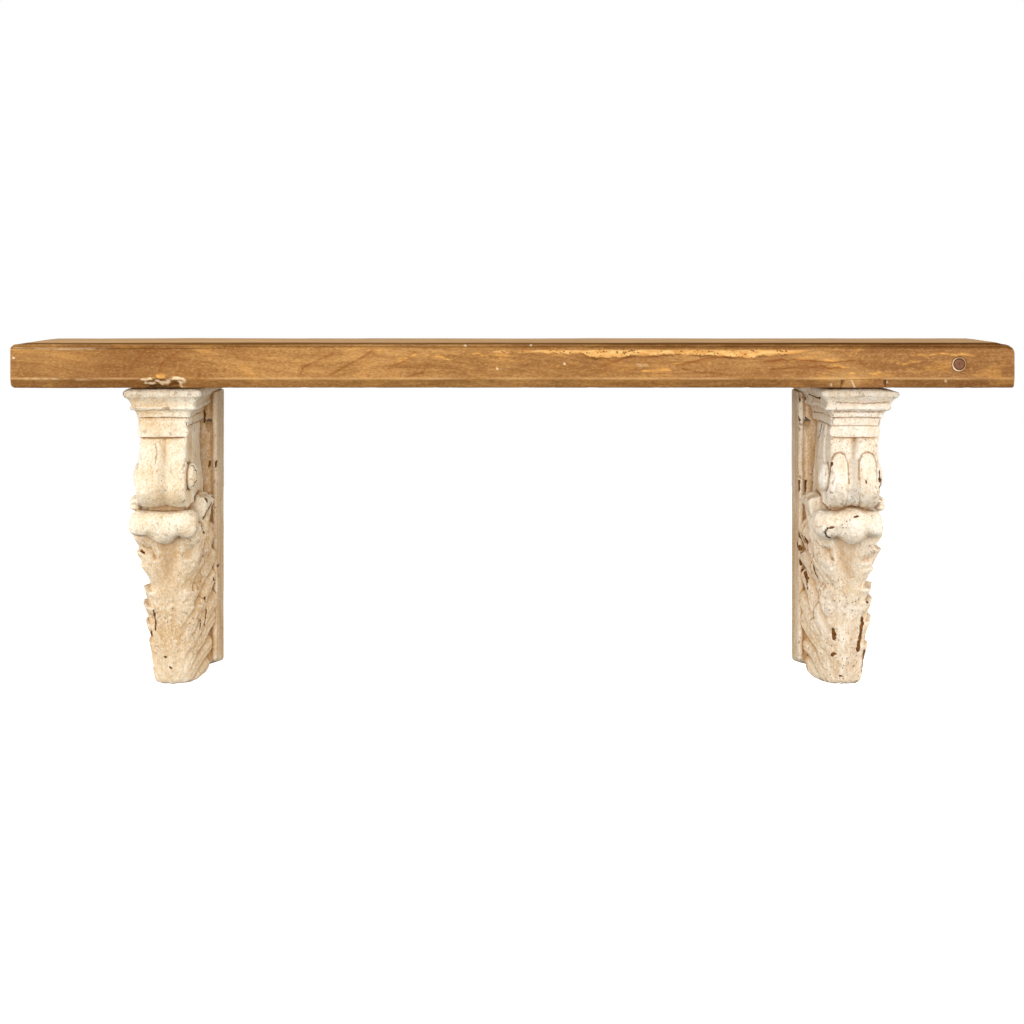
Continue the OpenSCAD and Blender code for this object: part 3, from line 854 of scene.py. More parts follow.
def build_object(name, vertices, faces, layers, material):
    """A mesh object from vertices in mm, with named values at its vertices."""
    mesh = bpy.data.meshes.new(name)
    faces = np.asarray(faces)
    sides = faces.shape[1]
    mesh.vertices.add(len(vertices))
    mesh.vertices.foreach_set("co", (np.asarray(vertices) * MM).astype(np.float32).ravel())
    mesh.loops.add(faces.size)
    mesh.loops.foreach_set("vertex_index", faces.astype(np.int32).ravel())
    mesh.polygons.add(len(faces))
    mesh.polygons.foreach_set("loop_start", np.arange(0, faces.size, sides, dtype=np.int32))
    mesh.polygons.foreach_set("use_smooth", np.ones(len(faces), bool))
    mesh.update(calc_edges=True)
    mesh.validate()
    for layer, values in layers.items():
        attribute = mesh.attributes.new(layer, "FLOAT", "POINT")
        attribute.data.foreach_set("value", np.asarray(values, np.float32))
    mesh.materials.append(material)
    piece = bpy.data.objects.new(name, mesh)
    bpy.context.scene.collection.objects.link(piece)
    return piece


def stand_for(piece, node):
    """Lets a finished piece ride on the body and take a CAD node's place."""
    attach(piece, "root")
    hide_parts(node)


def vertex_normals(vertices, quads):
    """Unit normals of a quad mesh at its vertices."""
    p = vertices[quads]
    face = np.cross(p[:, 2] - p[:, 0], p[:, 3] - p[:, 1])
    total = np.zeros_like(vertices)
    for i in range(4):
        np.add.at(total, quads[:, i], face)
    return total / np.maximum(np.linalg.norm(total, axis=1, keepdims=True), 1e-9)


# ---------------------------------------------------------------- carving a whole corbel


def corbel_fields(style):
    """Each carved piece's lattice and distances, cut so that no two pieces overlap."""
    style["leaf_map"] = leaf_map(style["seed"])
    whole = Grid(WHOLE_LOW, WHOLE_HIGH)
    body = np.full(whole.shape, 50, np.float32)
    first = np.full(whole.shape, 60, np.float32)
    second = np.full(whole.shape, 70, np.float32)
    parts = {}
    for name, (make, low, high) in CARVED.items():
        g = Grid(low, high)
        field = (make(g, style) + np.zeros(g.shape)).astype(np.float32)
        at = g.window(whole)
        parts[name] = (g, at, field)
        body[at] = join(body[at], field, 0 if name in ("inner_lobes", "outer_lobes") else 1.2)
        second[at] = np.minimum(second[at], np.maximum(first[at], field))
        first[at] = np.minimum(first[at], field)
    fields = {}
    for name, (g, at, field) in parts.items():
        rival = np.where(field <= first[at], second[at], first[at])
        fields[name] = (g, np.maximum(body[at], (field - rival) / 2 + 0.08))
    return whole, body, fields


def hollowness(whole, body):
    """How enclosed each lattice point is by wood, near to it and farther off."""
    solid = (body < 0).astype(np.float32)
    far = blur(solid, 7)
    # The plank above counts as wood in the near value, so the paint just under it gets a painted shadow
    solid[:, :, (whole.z > 0).ravel()] = 1
    return blur(solid, 2.2), far


def look_up(volume, whole, points):
    """A lattice's values at points, smoothly between its own."""
    at = np.clip((points - whole.low) / CELL, 0, np.array(volume.shape) - 1.001)
    cell = at.astype(int)
    part = at - cell
    total = 0
    for corner in np.ndindex(2, 2, 2):
        i, j, k = (cell + corner).T
        total = total + np.prod(np.where(corner, part, 1 - part), axis=1) * volume[i, j, k]
    return total


def scars(points, normals, seed, marks):
    """Where the paint is cracked or chipped off: the placed marks, made ragged."""
    x, y, z = points.T
    rag = noise(points, 3.2, seed + 31) + 0.6 * noise(points, 1.7, seed + 32)
    ways = {
        "front": (x, smooth_step(-normals[:, 1], 0.1, 0.4)),
        "inner": (y, smooth_step(normals[:, 0], 0.15, 0.45) * (x > 19)),
    }
    bare = np.zeros(len(points))
    for way, (along, facing) in ways.items():
        for width, *line in marks[way]:
            distance = stroke_distance(along, z, line)
            cover = smooth_step(distance / width + 0.45 * rag, 1.15, 0.7)
            bare = np.maximum(bare, cover * facing)
    return bare


def carve(side, material):
    """Makes all the carved pieces of one corbel."""
    style = STYLES[side]
    seed = style["seed"]
    whole, body, fields = corbel_fields(style)
    near, far = hollowness(whole, body)
    middle = corbel_middle(side)
    mirror = 1 if side == "left" else -1
    for name, (g, field) in fields.items():
        edge = np.pad(field, 1, constant_values=1)
        points, quads = surface_net(edge, g.low - CELL)
        points, quads = drop_crumbs(points, quads)
        normals = vertex_normals(points, quads)
        bare = scars(points, normals, seed, SCARS[side])
        layers = {
            "hollow": look_up(near, whole, points + 0.6 * normals),
            "deep": look_up(far, whole, points + 1.5 * normals),
            "back": smooth_step(points[:, 1], -150, -50),
            "bare": bare,
            "stain": scars(points, normals, seed + 7, STAINS[side]),
            "furrow": furrow(points, style) * (name in LEAF_PIECES),
        }
        points = roughen(points, normals, seed) - (0.7 * bare)[:, None] * normals
        points[:, 0] += lean(points, style)
        points = points * (mirror, 1, 1) + (middle + style["shift"], 0, UNDERSIDE)
        if mirror < 0:
            quads = quads[:, ::-1]
        full_name = side + "_" + name
        piece = build_object("carved_" + full_name, points, quads, layers, material)
        stand_for(piece, full_name)


def lean(points, style):
    """How far the cap's front stands off to one side of the corbel's middle."""
    up = smooth_step(points[:, 2], style["lean_from"], -10)
    return style["lean"] * up * smooth_step(-points[:, 1], 60, 115)


def roughen(points, normals, seed):
    """The slight waviness of hand carving, fading out where the corbel meets wall and plank."""
    fade = np.clip(np.minimum(-points[:, 2], -points[:, 1]) / 8, 0, 1)[:, None]
    sway = np.stack([noise(points, 28, seed + i) for i in range(3)], axis=1)
    rough = 0.50 * fractal(points, 8, seed + 5) + 0.30 * noise(points, 3.0, seed + 9)
    return points + fade * (0.75 * sway + rough[:, None] * normals)


# ---------------------------------------------------------------- the plank


def graded(start, end, first, last):
    """Places from start up to end, whose spacing goes evenly from first to last."""
    count = int(round(abs(end - start) / ((first + last) / 2)))
    t = np.arange(count) / count
    run = first * t + (last - first) * t * t / 2
    return start + (end - start) * run / ((first + last) / 2)


def plank_loop():
    """The plank's cross-section as Y and Z, once round from the top of its back face."""
    top, back = PLANK_HIGH[2], PLANK_HIGH[1]
    r = 4.0
    fine, coarse = (1.5, 7) if FINE else (3, 12)
    over = graded(back, FRONT + r, coarse, fine)
    turns = np.radians(np.linspace(90, 180, 6, endpoint=False))
    face = graded(top - r, UNDERSIDE + CHAMFER_H, fine / 1.5, fine / 1.5)
    slant = np.linspace(0, 1, 9, endpoint=False)
    under = graded(FRONT + CHAMFER_D, back, fine, coarse)
    rise = graded(UNDERSIDE, top, 5.5, 5.5)
    ys = [over, FRONT + r + r * np.cos(turns), FRONT + 0 * face, FRONT + CHAMFER_D * slant]
    zs = [top + 0 * over, top - r + r * np.sin(turns), face, UNDERSIDE + CHAMFER_H * (1 - slant)]
    ys += [under, back + 0 * rise]
    zs += [UNDERSIDE + 0 * under, rise]
    return np.concatenate(ys), np.concatenate(zs)


def loop_normals(ys, zs):
    """Outward directions at the points of a closed loop that runs from the back over the top."""
    dy = np.roll(ys, -1) - np.roll(ys, 1)
    dz = np.roll(zs, -1) - np.roll(zs, 1)
    length = np.hypot(dy, dz)
    return dz / length, -dy / length


# Where the plank's bottom edge is broken, and so modelled more finely
BROKEN = (-380, -328)


def plank_stations():
    """Places along the plank, with close pairs at the two ends of the patch."""
    step, close = (1.7, 0.9) if FINE else (3.4, 1.8)
    start, end = BROKEN
    runs = ((PLANK_LOW[0], start, step), (start, end, close), (end, PLANK_HIGH[0], step))
    xs = [x for low, high, gap in runs for x in np.linspace(low, high, round((high - low) / gap), False)]
    xs.append(PLANK_HIGH[0])
    for end in (PATCH_LOW[0], PATCH_HIGH[0]):
        xs = [x for x in xs if abs(x - end) > 0.6]
        xs += [end - 0.2, end + 0.2]
    return np.array(sorted(xs))


def stroke(x, z, points, width):
    """How strongly a drawn line of that width covers each place on the front face."""
    return hump(stroke_distance(x, z, points), width)


VEINS = (
    ((-373, 15), (-379, 8), (-384, 1), (-393, -12)),
    ((-338, 15), (-350, 8), (-356, 2), (-358, -7)),
    ((-316, -7), (-319, -13)),
    ((-182, 13), (-193, 7), (-211, 0), (-216, -9)),
    ((-142, 15), (-159, 5), (-172, -2), (-185, -9)),
    ((-98, 15), (-112, 5), (-127, -4)),
    ((-85, 3), (-90, -7), (-108, -11)),
    ((90, 0), (112, 7), (146, 11)),
    ((166, 2), (196, 8), (228, 10)),
    ((172, -2), (186, -6), (214, -8)),
    ((250, 3), (282, 7), (320, 4), (352, 6)),
    ((262, -3), (300, 0), (338, -2)),
)
GOLD = (
    ((404, 11), (430, 12.5), (467, 12)),
    ((262, 14), (280, 15.5), (300, 15)),
    ((288, 6.5), (310, 5.5), (336, 6.5)),
    ((268, 2), (284, 4)),
    ((-146, 16), (-132, 16.5)),
    ((-98, 12), (-110, 7), (-122, 2)),
    ((-88, 12), (-70, 9), (-58, 3)),
    ((-112, 9), (-118, 5)),
    ((28, 6), (40, 3), (52, -1)),
    ((64, 3), (74, -1), (84, -4)),
    ((164, 3), (182, 4.5), (200, 3)),
    ((228, 8), (236, 4), (246, 2)),
    ((-40, 13), (-22, 11), (-4, 12)),
    ((-12, 8), (6, 5)),
    ((342, -6), (356, -8), (372, -7)),
    ((120, -2), (136, -4), (160, -3)),
    ((326, 1), (340, -2)),
    ((390, 3), (420, 5), (436, 4)),
)
PALE = (
    ((125, 2.2), (138, 1.0)),
    ((128, -0.4), (136, 0.8)),
    ((-441, -13.5), (-420, -13.5)),
    ((-492, -12.6), (-452, -13.0)),
)
SPECKS = (
    (-505, 8.4), (-48, 21.5), (-15.6, -2.4), (19, 21.5),
    (52.6, 2.6), (323, -19), (378.5, -16), (438.5, -15),
)


def strokes(x, z, lines, width):
    """Several drawn lines together."""
    return np.max([stroke(x, z, line, width) for line in lines], axis=0)


def veins(x, z, points):
    """The orange-brown veins, each blurred on one side and broken along its length."""
    bent_x = x + 1.6 * noise(points, 8, 91)
    bent_z = z + 1.6 * noise(points, 8, 92)
    fine = strokes(bent_x, bent_z, VEINS, 0.85)
    soft = strokes(bent_x - 3.5, bent_z + 1.2, VEINS, 4.0)
    return fine * patchy(points, 6, 93, -1.2, -0.2) + 0.14 * soft


def raw_strip(x, z, points):
    """The strip of raw, worm-eaten wood under the top edge, and the dark line below it."""
    knots = (24, 34, 70, 84, 108, 122, 214, 226, 238, 262, 291, 300)
    lower = np.interp(x, knots, (16.6, 13.6, 13.2, 8.6, 8.8, 11.4, 11.2, 8.6, 8.8, 11.6, 13.4, 16.6))
    lower = lower + 0.9 * noise(points, 7, 61) + 0.9 * noise(points, 2.6, 62)
    upper = 16.6 + 0.5 * noise(points, 9, 63)
    within = smooth_step(z - lower, -0.5, 0.7) * smooth_step(upper - z, -0.4, 0.6)
    within = within * (x > 24) * (x < 300)
    line = hump(z - lower + 0.7, 0.8) * (x > 70) * (x < 280)
    faint = stroke(x, z, ((-93, 14), (-40, 13.6), (28, 15.4)), 1.5)
    ragged = patchy(points, 3, 64, -0.1, 0.6, 0.35)
    return np.maximum(within, 0.8 * faint * ragged), line * patchy(points, 11, 65, -0.5, 0.3)


SPLINTERS = (
    ((-375, -13.5), (-366, -13)),
    ((-372, -17), (-362, -19)),
    ((-361, -15), (-350, -18)),
    ((-356, -19), (-348, -16.5)),
    ((-350, -14.5), (-342, -12.5)),
    ((-343, -13), (-336, -12.8), (-332.5, -15.5)),
    ((-338, -16), (-335, -20)),
)


def broken_edge(x, z, points):
    """Where the bottom edge is broken: how deep, how pale and how dark it is there."""
    rag = 1.6 * noise(points, 5, 71) + 1.0 * noise(points, 2.4, 72)
    from_middle = np.hypot((x + 353) / 21, (z + 19) / 6.5)
    area = smooth_step(1.0 + 0.20 * rag - from_middle, 0, 0.3)
    pale = strokes(x + 0.9 * rag, z + 0.7 * rag, SPLINTERS, 1.5)
    pale = smooth_step(pale + 0.45 * noise(points * (0.6, 1, 1), 1.8, 74), 0.35, 0.75)
    hole = smooth_step(stroke(x, z + 0.4 * rag, ((-347, -20.5), (-343, -18), (-339, -18)), 2.0), 0.3, 0.6)
    lip = smooth_step(np.hypot((x + 360) / 12, (z + 21.8) / 1.6) + 0.1 * rag, 1.1, 0.7)
    return area, pale * (1 - hole), np.maximum(hole, lip)


def dark_edges(points, front, sway, back_of):
    """The dark bands and cracks along the top front edge, and the shade of the chamfer."""
    x, y, z = points.T
    right = smooth_step(x, 20, 120)
    left = smooth_step(-x, 270, 300)
    crack = left * hump(z - 18.0 - sway, 0.6) * patchy(points, 60, 82, -0.6, 0.1)
    rim = hump(z - 19.9 - 0.3 * sway, 0.9) * (y < -195) * (1 - 0.3 * left)
    rim = rim * (0.85 + 0.25 * right) * patchy(points, 45, 85, -1.6, -0.3)
    arris = smooth_step(back_of, 136, 152) * smooth_step(back_of, 204, 186) * (0.85 + 0.15 * right)
    arris = arris * (0.8 + 0.3 * noise(points * (0.1, 1, 1), 6, 95)) * (z > 20)
    arris = arris + (0.20 + 0.32 * right) * smooth_step(-y, 172, 188) * smooth_step(z, 19.5, 21)
    band = smooth_step(z, 16.8, 18.2) * front * (0.06 + 0.50 * right)
    bevel = 0.30 * smooth_step(-z, 12.6, 13.6) * (y < -195)
    return np.max([0.9 * front * crack, arris, band, rim, bevel], axis=0)


def pale_spots(x, z, points, sway):
    """Thin pale lines where the edges are worn, and the filled nail holes."""
    worn_line = stroke(x, z + 0.5 * sway, ((-504, 18.9), (-460, 17.9), (-408, 18.2)), 0.8)
    worn_line = worn_line * patchy(points, 2.4, 89, -0.8, 0.3, 0.4)
    specks = np.max([smooth_step(np.hypot(x - sx, z - sz), 1.5, 0.9) for sx, sz in SPECKS], axis=0)
    broken_pale = strokes(x, z, PALE, 0.8) * patchy(points, 4, 90, -0.3, 0.4)
    return np.max([0.45 * broken_pale, 0.55 * worn_line, specks], axis=0)


def golden(x, z, points):
    """Gold flecks in the grain, and the orange spot over the broken edge."""
    bent_z = z + 1.2 * noise(points, 6, 87)
    ragged = patchy(points, 2.6, 84, -0.4, 0.25, 0.35)
    orange = smooth_step(np.hypot((x + 356) / 5, (z + 9.8) / 3), 1.2, 0.6)
    return np.maximum(strokes(x, bent_z, GOLD, 1.0) * ragged, orange)


def plank_marks(points):
    """The values that colour the plank, at its vertices."""
    x, y, z = points.T
    front = smooth_step(-y, -FRONT - 12, -FRONT - 5)
    raw, raw_line = raw_strip(x, z, points)
    area, pale, hole = broken_edge(x, z, points)
    sway = 0.5 * noise(points * (0.12, 1, 1), 6, 81)
    edge_wave = 7 * noise(points * (0.08, 1, 1), 11, 88) + 3 * noise(points * (0.2, 1, 1), 5, 94)
    back_of = -y - edge_wave
    edges = dark_edges(points, front, sway, back_of)
    # A paler line along the chamfer's top arris: wear, and a painted highlight
    edge = hump(z + 12.6, 1.0) * patchy(points, 40, 86, -0.8, 0.4)
    # Painted light: the top, behind its dark front band, is made paler
    painted_top_light = 0.9 * smooth_step(z, 20.3, 21.2) * smooth_step(back_of, 152, 136)
    return {
        "vein": front * veins(x, z, points),
        "gold": front * golden(x, z, points),
        "raw": front * raw,
        "dark": np.max([front * raw_line, front * hole, edges], axis=0),
        "pale": front * np.maximum(pale, pale_spots(x, z, points, sway)),
        "edge": np.maximum(front * edge, painted_top_light),
        "broken": front * area,
    }


def round_end_corners(points):
    """Rounds the plank's corners at its two ends, more at the top right and towards the front."""
    for way, above, radius in ((1, True, 9.5), (-1, True, 5), (-1, False, 4), (1, False, 1.8)):
        x, y, z = points.T
        r = 1.5 + (radius - 1.5) * smooth_step(-y, 120, 195)
        from_end = PLANK_HIGH[0] - way * x
        from_face = PLANK_HIGH[2] - z if above else z - UNDERSIDE
        near = (from_end < r) & (from_face < r)
        u, v = r - from_end, r - from_face
        shrink = np.where(near, np.maximum(u, v) / np.maximum(np.hypot(u, v), 1e-6), 1)
        new_end = np.where(near, r - u * shrink, from_end)
        new_face = np.where(near, r - v * shrink, from_face)
        x = way * (PLANK_HIGH[0] - new_end)
        z = PLANK_HIGH[2] - new_face if above else new_face + UNDERSIDE
        points = np.stack([x, y, z], axis=1)
    return points


def sink_plug_hole(points):
    """Moves the vertices inside the old hole's circle back to its bottom."""
    dx, dz = points[:, 0] - PLUG_MIDDLE[0], points[:, 2] - PLUG_MIDDLE[2]
    away = np.hypot(dx, dz)
    on_front = points[:, 1] < FRONT + 3
    half_step = 0.95
    rim = on_front & (abs(away - HOLE_R) < half_step)
    pull = np.where(rim, HOLE_R / np.maximum(away, 1e-6), 1)
    points[:, 0] = PLUG_MIDDLE[0] + dx * pull
    points[:, 2] = PLUG_MIDDLE[2] + dz * pull
    inside = on_front & (away <= HOLE_R - half_step)
    points[inside, 1] = FILLER_HIGH[1]
    return points


def notch(ys, zs):
    """The cross-section with the patch's place cut out of its lower front corner."""
    ledge_z, ledge_y = PATCH_HIGH[2], PATCH_HIGH[1]
    low = np.where((zs < ledge_z - 0.01) & (ys < ledge_y - 0.01) & (zs < 0))[0]
    first_y = FRONT + CHAMFER_D * (UNDERSIDE + CHAMFER_H - ledge_z) / CHAMFER_H
    run_in = ledge_y - first_y
    total = run_in + ledge_z - UNDERSIDE
    s = np.linspace(0, 1, len(low)) * total
    ys, zs = ys.copy(), zs.copy()
    ys[low] = first_y + np.minimum(s, run_in)
    zs[low] = ledge_z - np.maximum(s - run_in, 0)
    return ys, zs


def rows_of_quads(index):
    """Quads between neighbouring rows of vertex numbers, each row a closed loop."""
    after = np.roll(index, -1, axis=1)
    return np.stack([index[:-1], after[:-1], after[1:], index[1:]], axis=-1).reshape(-1, 4)


def loft(xs, sections):
    """A closed solid through cross-sections, each a (ys, zs) loop of as many points."""
    loops = [np.stack([np.full(len(ys), x), ys, zs], axis=1) for x, (ys, zs) in zip(xs, sections)]
    grid = np.array(loops)
    rows, count = grid.shape[:2]
    index = np.arange(rows * count).reshape(rows, count)
    quads = [rows_of_quads(index)]
    vertices = [grid.reshape(-1, 3)]
    made = rows * count
    for row, flip in ((0, True), (rows - 1, False)):
        loop = grid[row]
        low, high = loop.min(axis=0), loop.max(axis=0)
        inset = min(high[1] - low[1], high[2] - low[2]) / 2
        spine = loop.copy()
        spine[:, 1] = np.clip(loop[:, 1], low[1] + inset, high[1] - inset)
        spine[:, 2] = (low[2] + high[2]) / 2
        last = index[row]
        for t in (0.04, 0.12, 0.3, 0.5, 0.75, 1.0):
            ring = np.arange(made, made + count)
            made += count
            vertices.append(loop + (spine - loop) * t)
            quad = np.stack([last, np.roll(last, -1), np.roll(ring, -1), ring], axis=-1)
            quads.append(quad[:, ::-1] if flip else quad)
            last = ring
    return np.concatenate(vertices), np.concatenate(quads)


def weld(piece):
    """Merges vertices that lie on each other and turns every face outwards."""
    mesh = bmesh.new()
    mesh.from_mesh(piece.data)
    bmesh.ops.remove_doubles(mesh, verts=mesh.verts, dist=0.02 * MM)
    bmesh.ops.dissolve_degenerate(mesh, edges=mesh.edges, dist=0.01 * MM)
    bmesh.ops.recalc_face_normals(mesh, faces=mesh.faces)
    mesh.to_mesh(piece.data)
    mesh.free()


def wear_plank(points, marks, normal_y, normal_z):
    """Moves the plank's vertices in or out for its waviness, dents, cracks and broken edge."""
    x, y, z = points.T
    wave = 0.35 * noise(points * (0.35, 1, 1), 40, 21) + 0.10 * noise(points * (0.1, 1, 1), 2.2, 22)
    arris = np.hypot(y - FRONT, z - PLANK_HIGH[2])
    dents = 1.3 * patchy(points, 16, 23, 0.1, 0.9) * hump(arris, 6)
    corner = np.hypot(y - FRONT, z - (UNDERSIDE + CHAMFER_H))
    chips = 0.7 * patchy(points, 9, 24, 0.2, 0.9) * hump(corner, 2.5)
    bottom = np.hypot(y - FRONT - CHAMFER_D, z - UNDERSIDE)
    nicks = 0.5 * patchy(points, 7, 25, 0.35, 1.0) * hump(bottom, 2)
    inward = dents + chips + nicks - wave
    inward = inward + 0.9 * marks["raw"] * (1 + 0.5 * noise(points, 3, 26))
    lines = np.clip(marks["dark"], 0, 1) * (z < 21) * (z > 7)
    inward = inward + 0.5 * lines
    torn = 2.6 + 1.6 * noise(points * (0.5, 1, 1), 4, 27)
    inward = inward + marks["broken"] * torn - 1.2 * marks["pale"] * marks["broken"]
    away = smooth_step(abs(x - PATCH_LOW[0] / 2 - PATCH_HIGH[0] / 2), 24, 27)
    near_plug = np.hypot(x - PLUG_MIDDLE[0], z - PLUG_MIDDLE[2])
    calm = np.where((z < -10) & (y < -180), away, 1)
    calm = calm * np.where(y < -195, smooth_step(near_plug, 9, 12), 1)
    touching = (z < UNDERSIDE + 0.5) & (y > -195)
    inward = np.where(touching, 0.15 + 0.1 * wave, inward * calm)
    inward = np.maximum(inward, -0.3)
    return points - np.stack([0 * x, inward * normal_y, inward * normal_z], axis=1)


def make_plank(material):
    ys, zs = plank_loop()
    xs = plank_stations()
    cut_ys, cut_zs = notch(ys, zs)
    sections = [(cut_ys, cut_zs) if PATCH_LOW[0] < x < PATCH_HIGH[0] else (ys, zs) for x in xs]
    points, quads = loft(xs, sections)
    ny, nz = loop_normals(ys, zs)
    repeats = len(points) // len(ys)
    normal_y, normal_z = np.tile(ny, repeats), np.tile(nz, repeats)
    ends = np.arange(len(points)) >= len(xs) * len(ys)
    normal_y[ends] = 0
    normal_z[ends] = 0
    marks = plank_marks(points)
    points = wear_plank(points, marks, normal_y, normal_z)
    points = round_end_corners(points)
    points = sink_plug_hole(points)
    plank = build_object("worn_plank", points, quads, marks, material)
    weld(plank)
    stand_for(plank, "shelf_plank")


def make_patch(material):
    """The patch let into the chamfer, a little proud of it and notched at its ends."""
    ledge_z, ledge_y = PATCH_HIGH[2], PATCH_HIGH[1]
    first_y = FRONT + CHAMFER_D * (UNDERSIDE + CHAMFER_H - ledge_z) / CHAMFER_H
    corners = [(ledge_y, ledge_z), (first_y, ledge_z)]
    corners += [(FRONT + CHAMFER_D, UNDERSIDE), (ledge_y, UNDERSIDE)]
    steps = np.arange(8)[:, None] / 8
    edges = zip(np.array(corners), np.roll(corners, -1, axis=0))
    ys, zs = np.concatenate([a + (b - a) * steps for a, b in edges]).T
    gap = 0.35
    xs = np.linspace(PATCH_LOW[0] + gap, PATCH_HIGH[0] - gap, 64)
    middle_y, middle_z = ys.mean(), zs.mean()
    sections = []
    for i, x in enumerate(xs):
        end = min(i, len(xs) - 1 - i)
        size = 0.97 - (0.10, 0.03, 0.01)[end] if end < 3 else 0.97
        wave = 0.15 * noise(np.array([x, 0, 0]), 6, 31)
        sections.append((middle_y + (ys - middle_y) * size + wave, middle_z + (zs - middle_z) * size))
    points, quads = loft(xs, sections)
    x, y, z = points.T
    ticks = [((334.5, -14.5), (333.4, -18)), ((376.6, -14.5), (377.4, -18.5))]
    scratch = ((343, -14), (347, -22))
    marks = {name: 0 * x for name in ("edge", "raw", "gold", "vein", "broken")}
    marks["dark"] = (y < -196) * strokes(x, z, ticks, 1.5)
    marks["pale"] = (y < -196) * 0.9 * stroke(x, z, scratch, 0.7)
    patch = build_object("let_in_patch", points, quads, marks, material)
    weld(patch)
    stand_for(patch, "edge_patch")


def turned_piece(name, rings, steps, seed, material):
    """A piece turned about the plug's axis from rings of (radius, y), a little out of round."""
    turns = np.linspace(0, 2 * math.pi, steps, endpoint=False)
    points = []
    for r, y in rings:
        ring = np.stack([r * np.cos(turns), np.full(steps, y), r * np.sin(turns)], axis=1)
        wobble = 1 + 0.02 * noise(ring + 50, 4, seed) * (r > 1)
        ring[:, 0] *= wobble
        ring[:, 2] *= wobble
        points.append(ring + (PLUG_MIDDLE[0], 0, PLUG_MIDDLE[2]))
    index = np.arange(len(rings) * steps).reshape(len(rings), steps)
    piece = build_object(name, np.concatenate(points), rows_of_quads(index), {}, material)
    weld(piece)
    return piece


def make_filler(material):
    """The ring of filler in the old hole."""
    outer = HOLE_R - 0.15
    inner = PLUG_R + 0.05
    face, back = FRONT + 0.1, FILLER_HIGH[1] - 0.2
    rings = [(inner, back), (inner, face + 1), (inner + 0.2, face + 0.25), (inner + 0.8, face)]
    rings += [(outer - 0.8, face - 0.1), (outer - 0.2, face + 0.15), (outer, face + 0.8), (outer, back)]
    rings += [(inner, back)]
    stand_for(turned_piece("filler_ring", rings, 72, 35, material), "plug_filler")


def make_dowel(material):
    """The dowel plug, dished a little at its end by sanding."""
    r = PLUG_R - 0.2
    face, back = FRONT + 0.3, PLUG_HIGH[1] - 0.2
    rings = [(0.001, face + 0.5), (0.8, face + 0.35), (1.5, face + 0.05), (3, face), (r - 0.6, face)]
    rings += [(r - 0.15, face + 0.2), (r, face + 0.7), (r, back - 1), (r - 1, back), (0.001, back)]
    stand_for(turned_piece("dowel_end", rings, 64, 36, material), "dowel_plug")


# ---------------------------------------------------------------- materials


def new_material(name, roughness):
    """A material, its shader's sockets and a helper that adds nodes to it."""
    material = bpy.data.materials.new(name)
    material.use_nodes = True
    sockets = material.node_tree.nodes["Principled BSDF"].inputs
    sockets["Roughness"].default_value = roughness
    return material, sockets, Tree(material.node_tree)


def srgb(r, g, b):
    """A colour given as it looks on screen, as the linear values a shader takes."""
    def linear(c):
        c = c / 255
        return c / 12.92 if c <= 0.04045 else ((c + 0.055) / 1.055) ** 2.4
    return (linear(r), linear(g), linear(b), 1)


class Tree:
    """Short ways to add the nodes that the materials use."""

    def __init__(self, tree):
        self.tree = tree

    def node(self, kind, inputs=(), **settings):
        made = self.tree.nodes.new(kind)
        for key, value in settings.items():
            setattr(made, key, value)
        for key, value in dict(inputs).items():
            self.feed(made.inputs[key], value)
        return made

    def feed(self, socket, value):
        if isinstance(value, bpy.types.NodeSocket):
            self.tree.links.new(value, socket)
        else:
            socket.default_value = value

    def coords(self, scale=(1, 1, 1)):
        """Object coordinates, stretched."""
        place = self.node("ShaderNodeTexCoord").outputs["Object"]
        return self.node("ShaderNodeMapping", {"Vector": place, "Scale": scale}).outputs[0]

    def noise(self, scale, detail=4, rough=0.55, stretch=(1, 1, 1), distort=0, offset=0):
        place = self.coords(stretch)
        if offset:
            shift = {0: place, 1: (offset, offset * 0.7, -offset)}
            place = self.node("ShaderNodeVectorMath", shift, operation="ADD").outputs[0]
        sockets = {"Vector": place, "Scale": scale, "Detail": detail, "Roughness": rough}
        sockets["Distortion"] = distort
        return self.node("ShaderNodeTexNoise", sockets).outputs["Fac"]

    def specks(self, scale, stretch=(1, 1, 1)):
        """Distance from scattered points, for dots and holes."""
        sockets = {"Vector": self.coords(stretch), "Scale": scale}
        return self.node("ShaderNodeTexVoronoi", sockets).outputs["Distance"]

    def ramp(self, fac, low, high, low_to=0.0, high_to=1.0):
        """A value stretched from one range to another, clamped."""
        sockets = {"Value": fac, 1: low, 2: high, 3: low_to, 4: high_to}
        return self.node("ShaderNodeMapRange", sockets).outputs[0]

    def math(self, operation, a, b=0.0, clamp=False):
        made = self.node("ShaderNodeMath", {0: a, 1: b}, operation=operation, use_clamp=clamp)
        return made.outputs[0]

    def times(self, a, b, clamp=False):
        return self.math("MULTIPLY", a, b, clamp)

    def plus(self, a, b, clamp=False):
        return self.math("ADD", a, b, clamp)

    def total(self, *terms):
        """The sum of some values, each given with its weight."""
        made = self.times(*terms[0])
        for value, weight in terms[1:]:
            made = self.plus(made, self.times(value, weight))
        return made

    def mix(self, fac, a, b, blend="MIX"):
        """Two colours mixed."""
        made = self.node("ShaderNodeMix", data_type="RGBA", blend_type=blend)
        self.feed(made.inputs[0], fac)
        self.feed(made.inputs[6], a)
        self.feed(made.inputs[7], b)
        return made.outputs[2]

    def tint(self, colour, value, low, high, most, other):
        """A colour that turns into another, up to a share of most, as a value goes from low to high."""
        return self.mix(self.ramp(value, low, high, 0, most), colour, other)

    def value(self, name):
        """A value kept at the mesh's vertices."""
        return self.node("ShaderNodeAttribute", attribute_name=name).outputs["Fac"]

    def bump(self, height, distance):
        sockets = {"Height": height, "Distance": distance, "Strength": 1.0}
        return self.node("ShaderNodeBump", sockets).outputs[0]


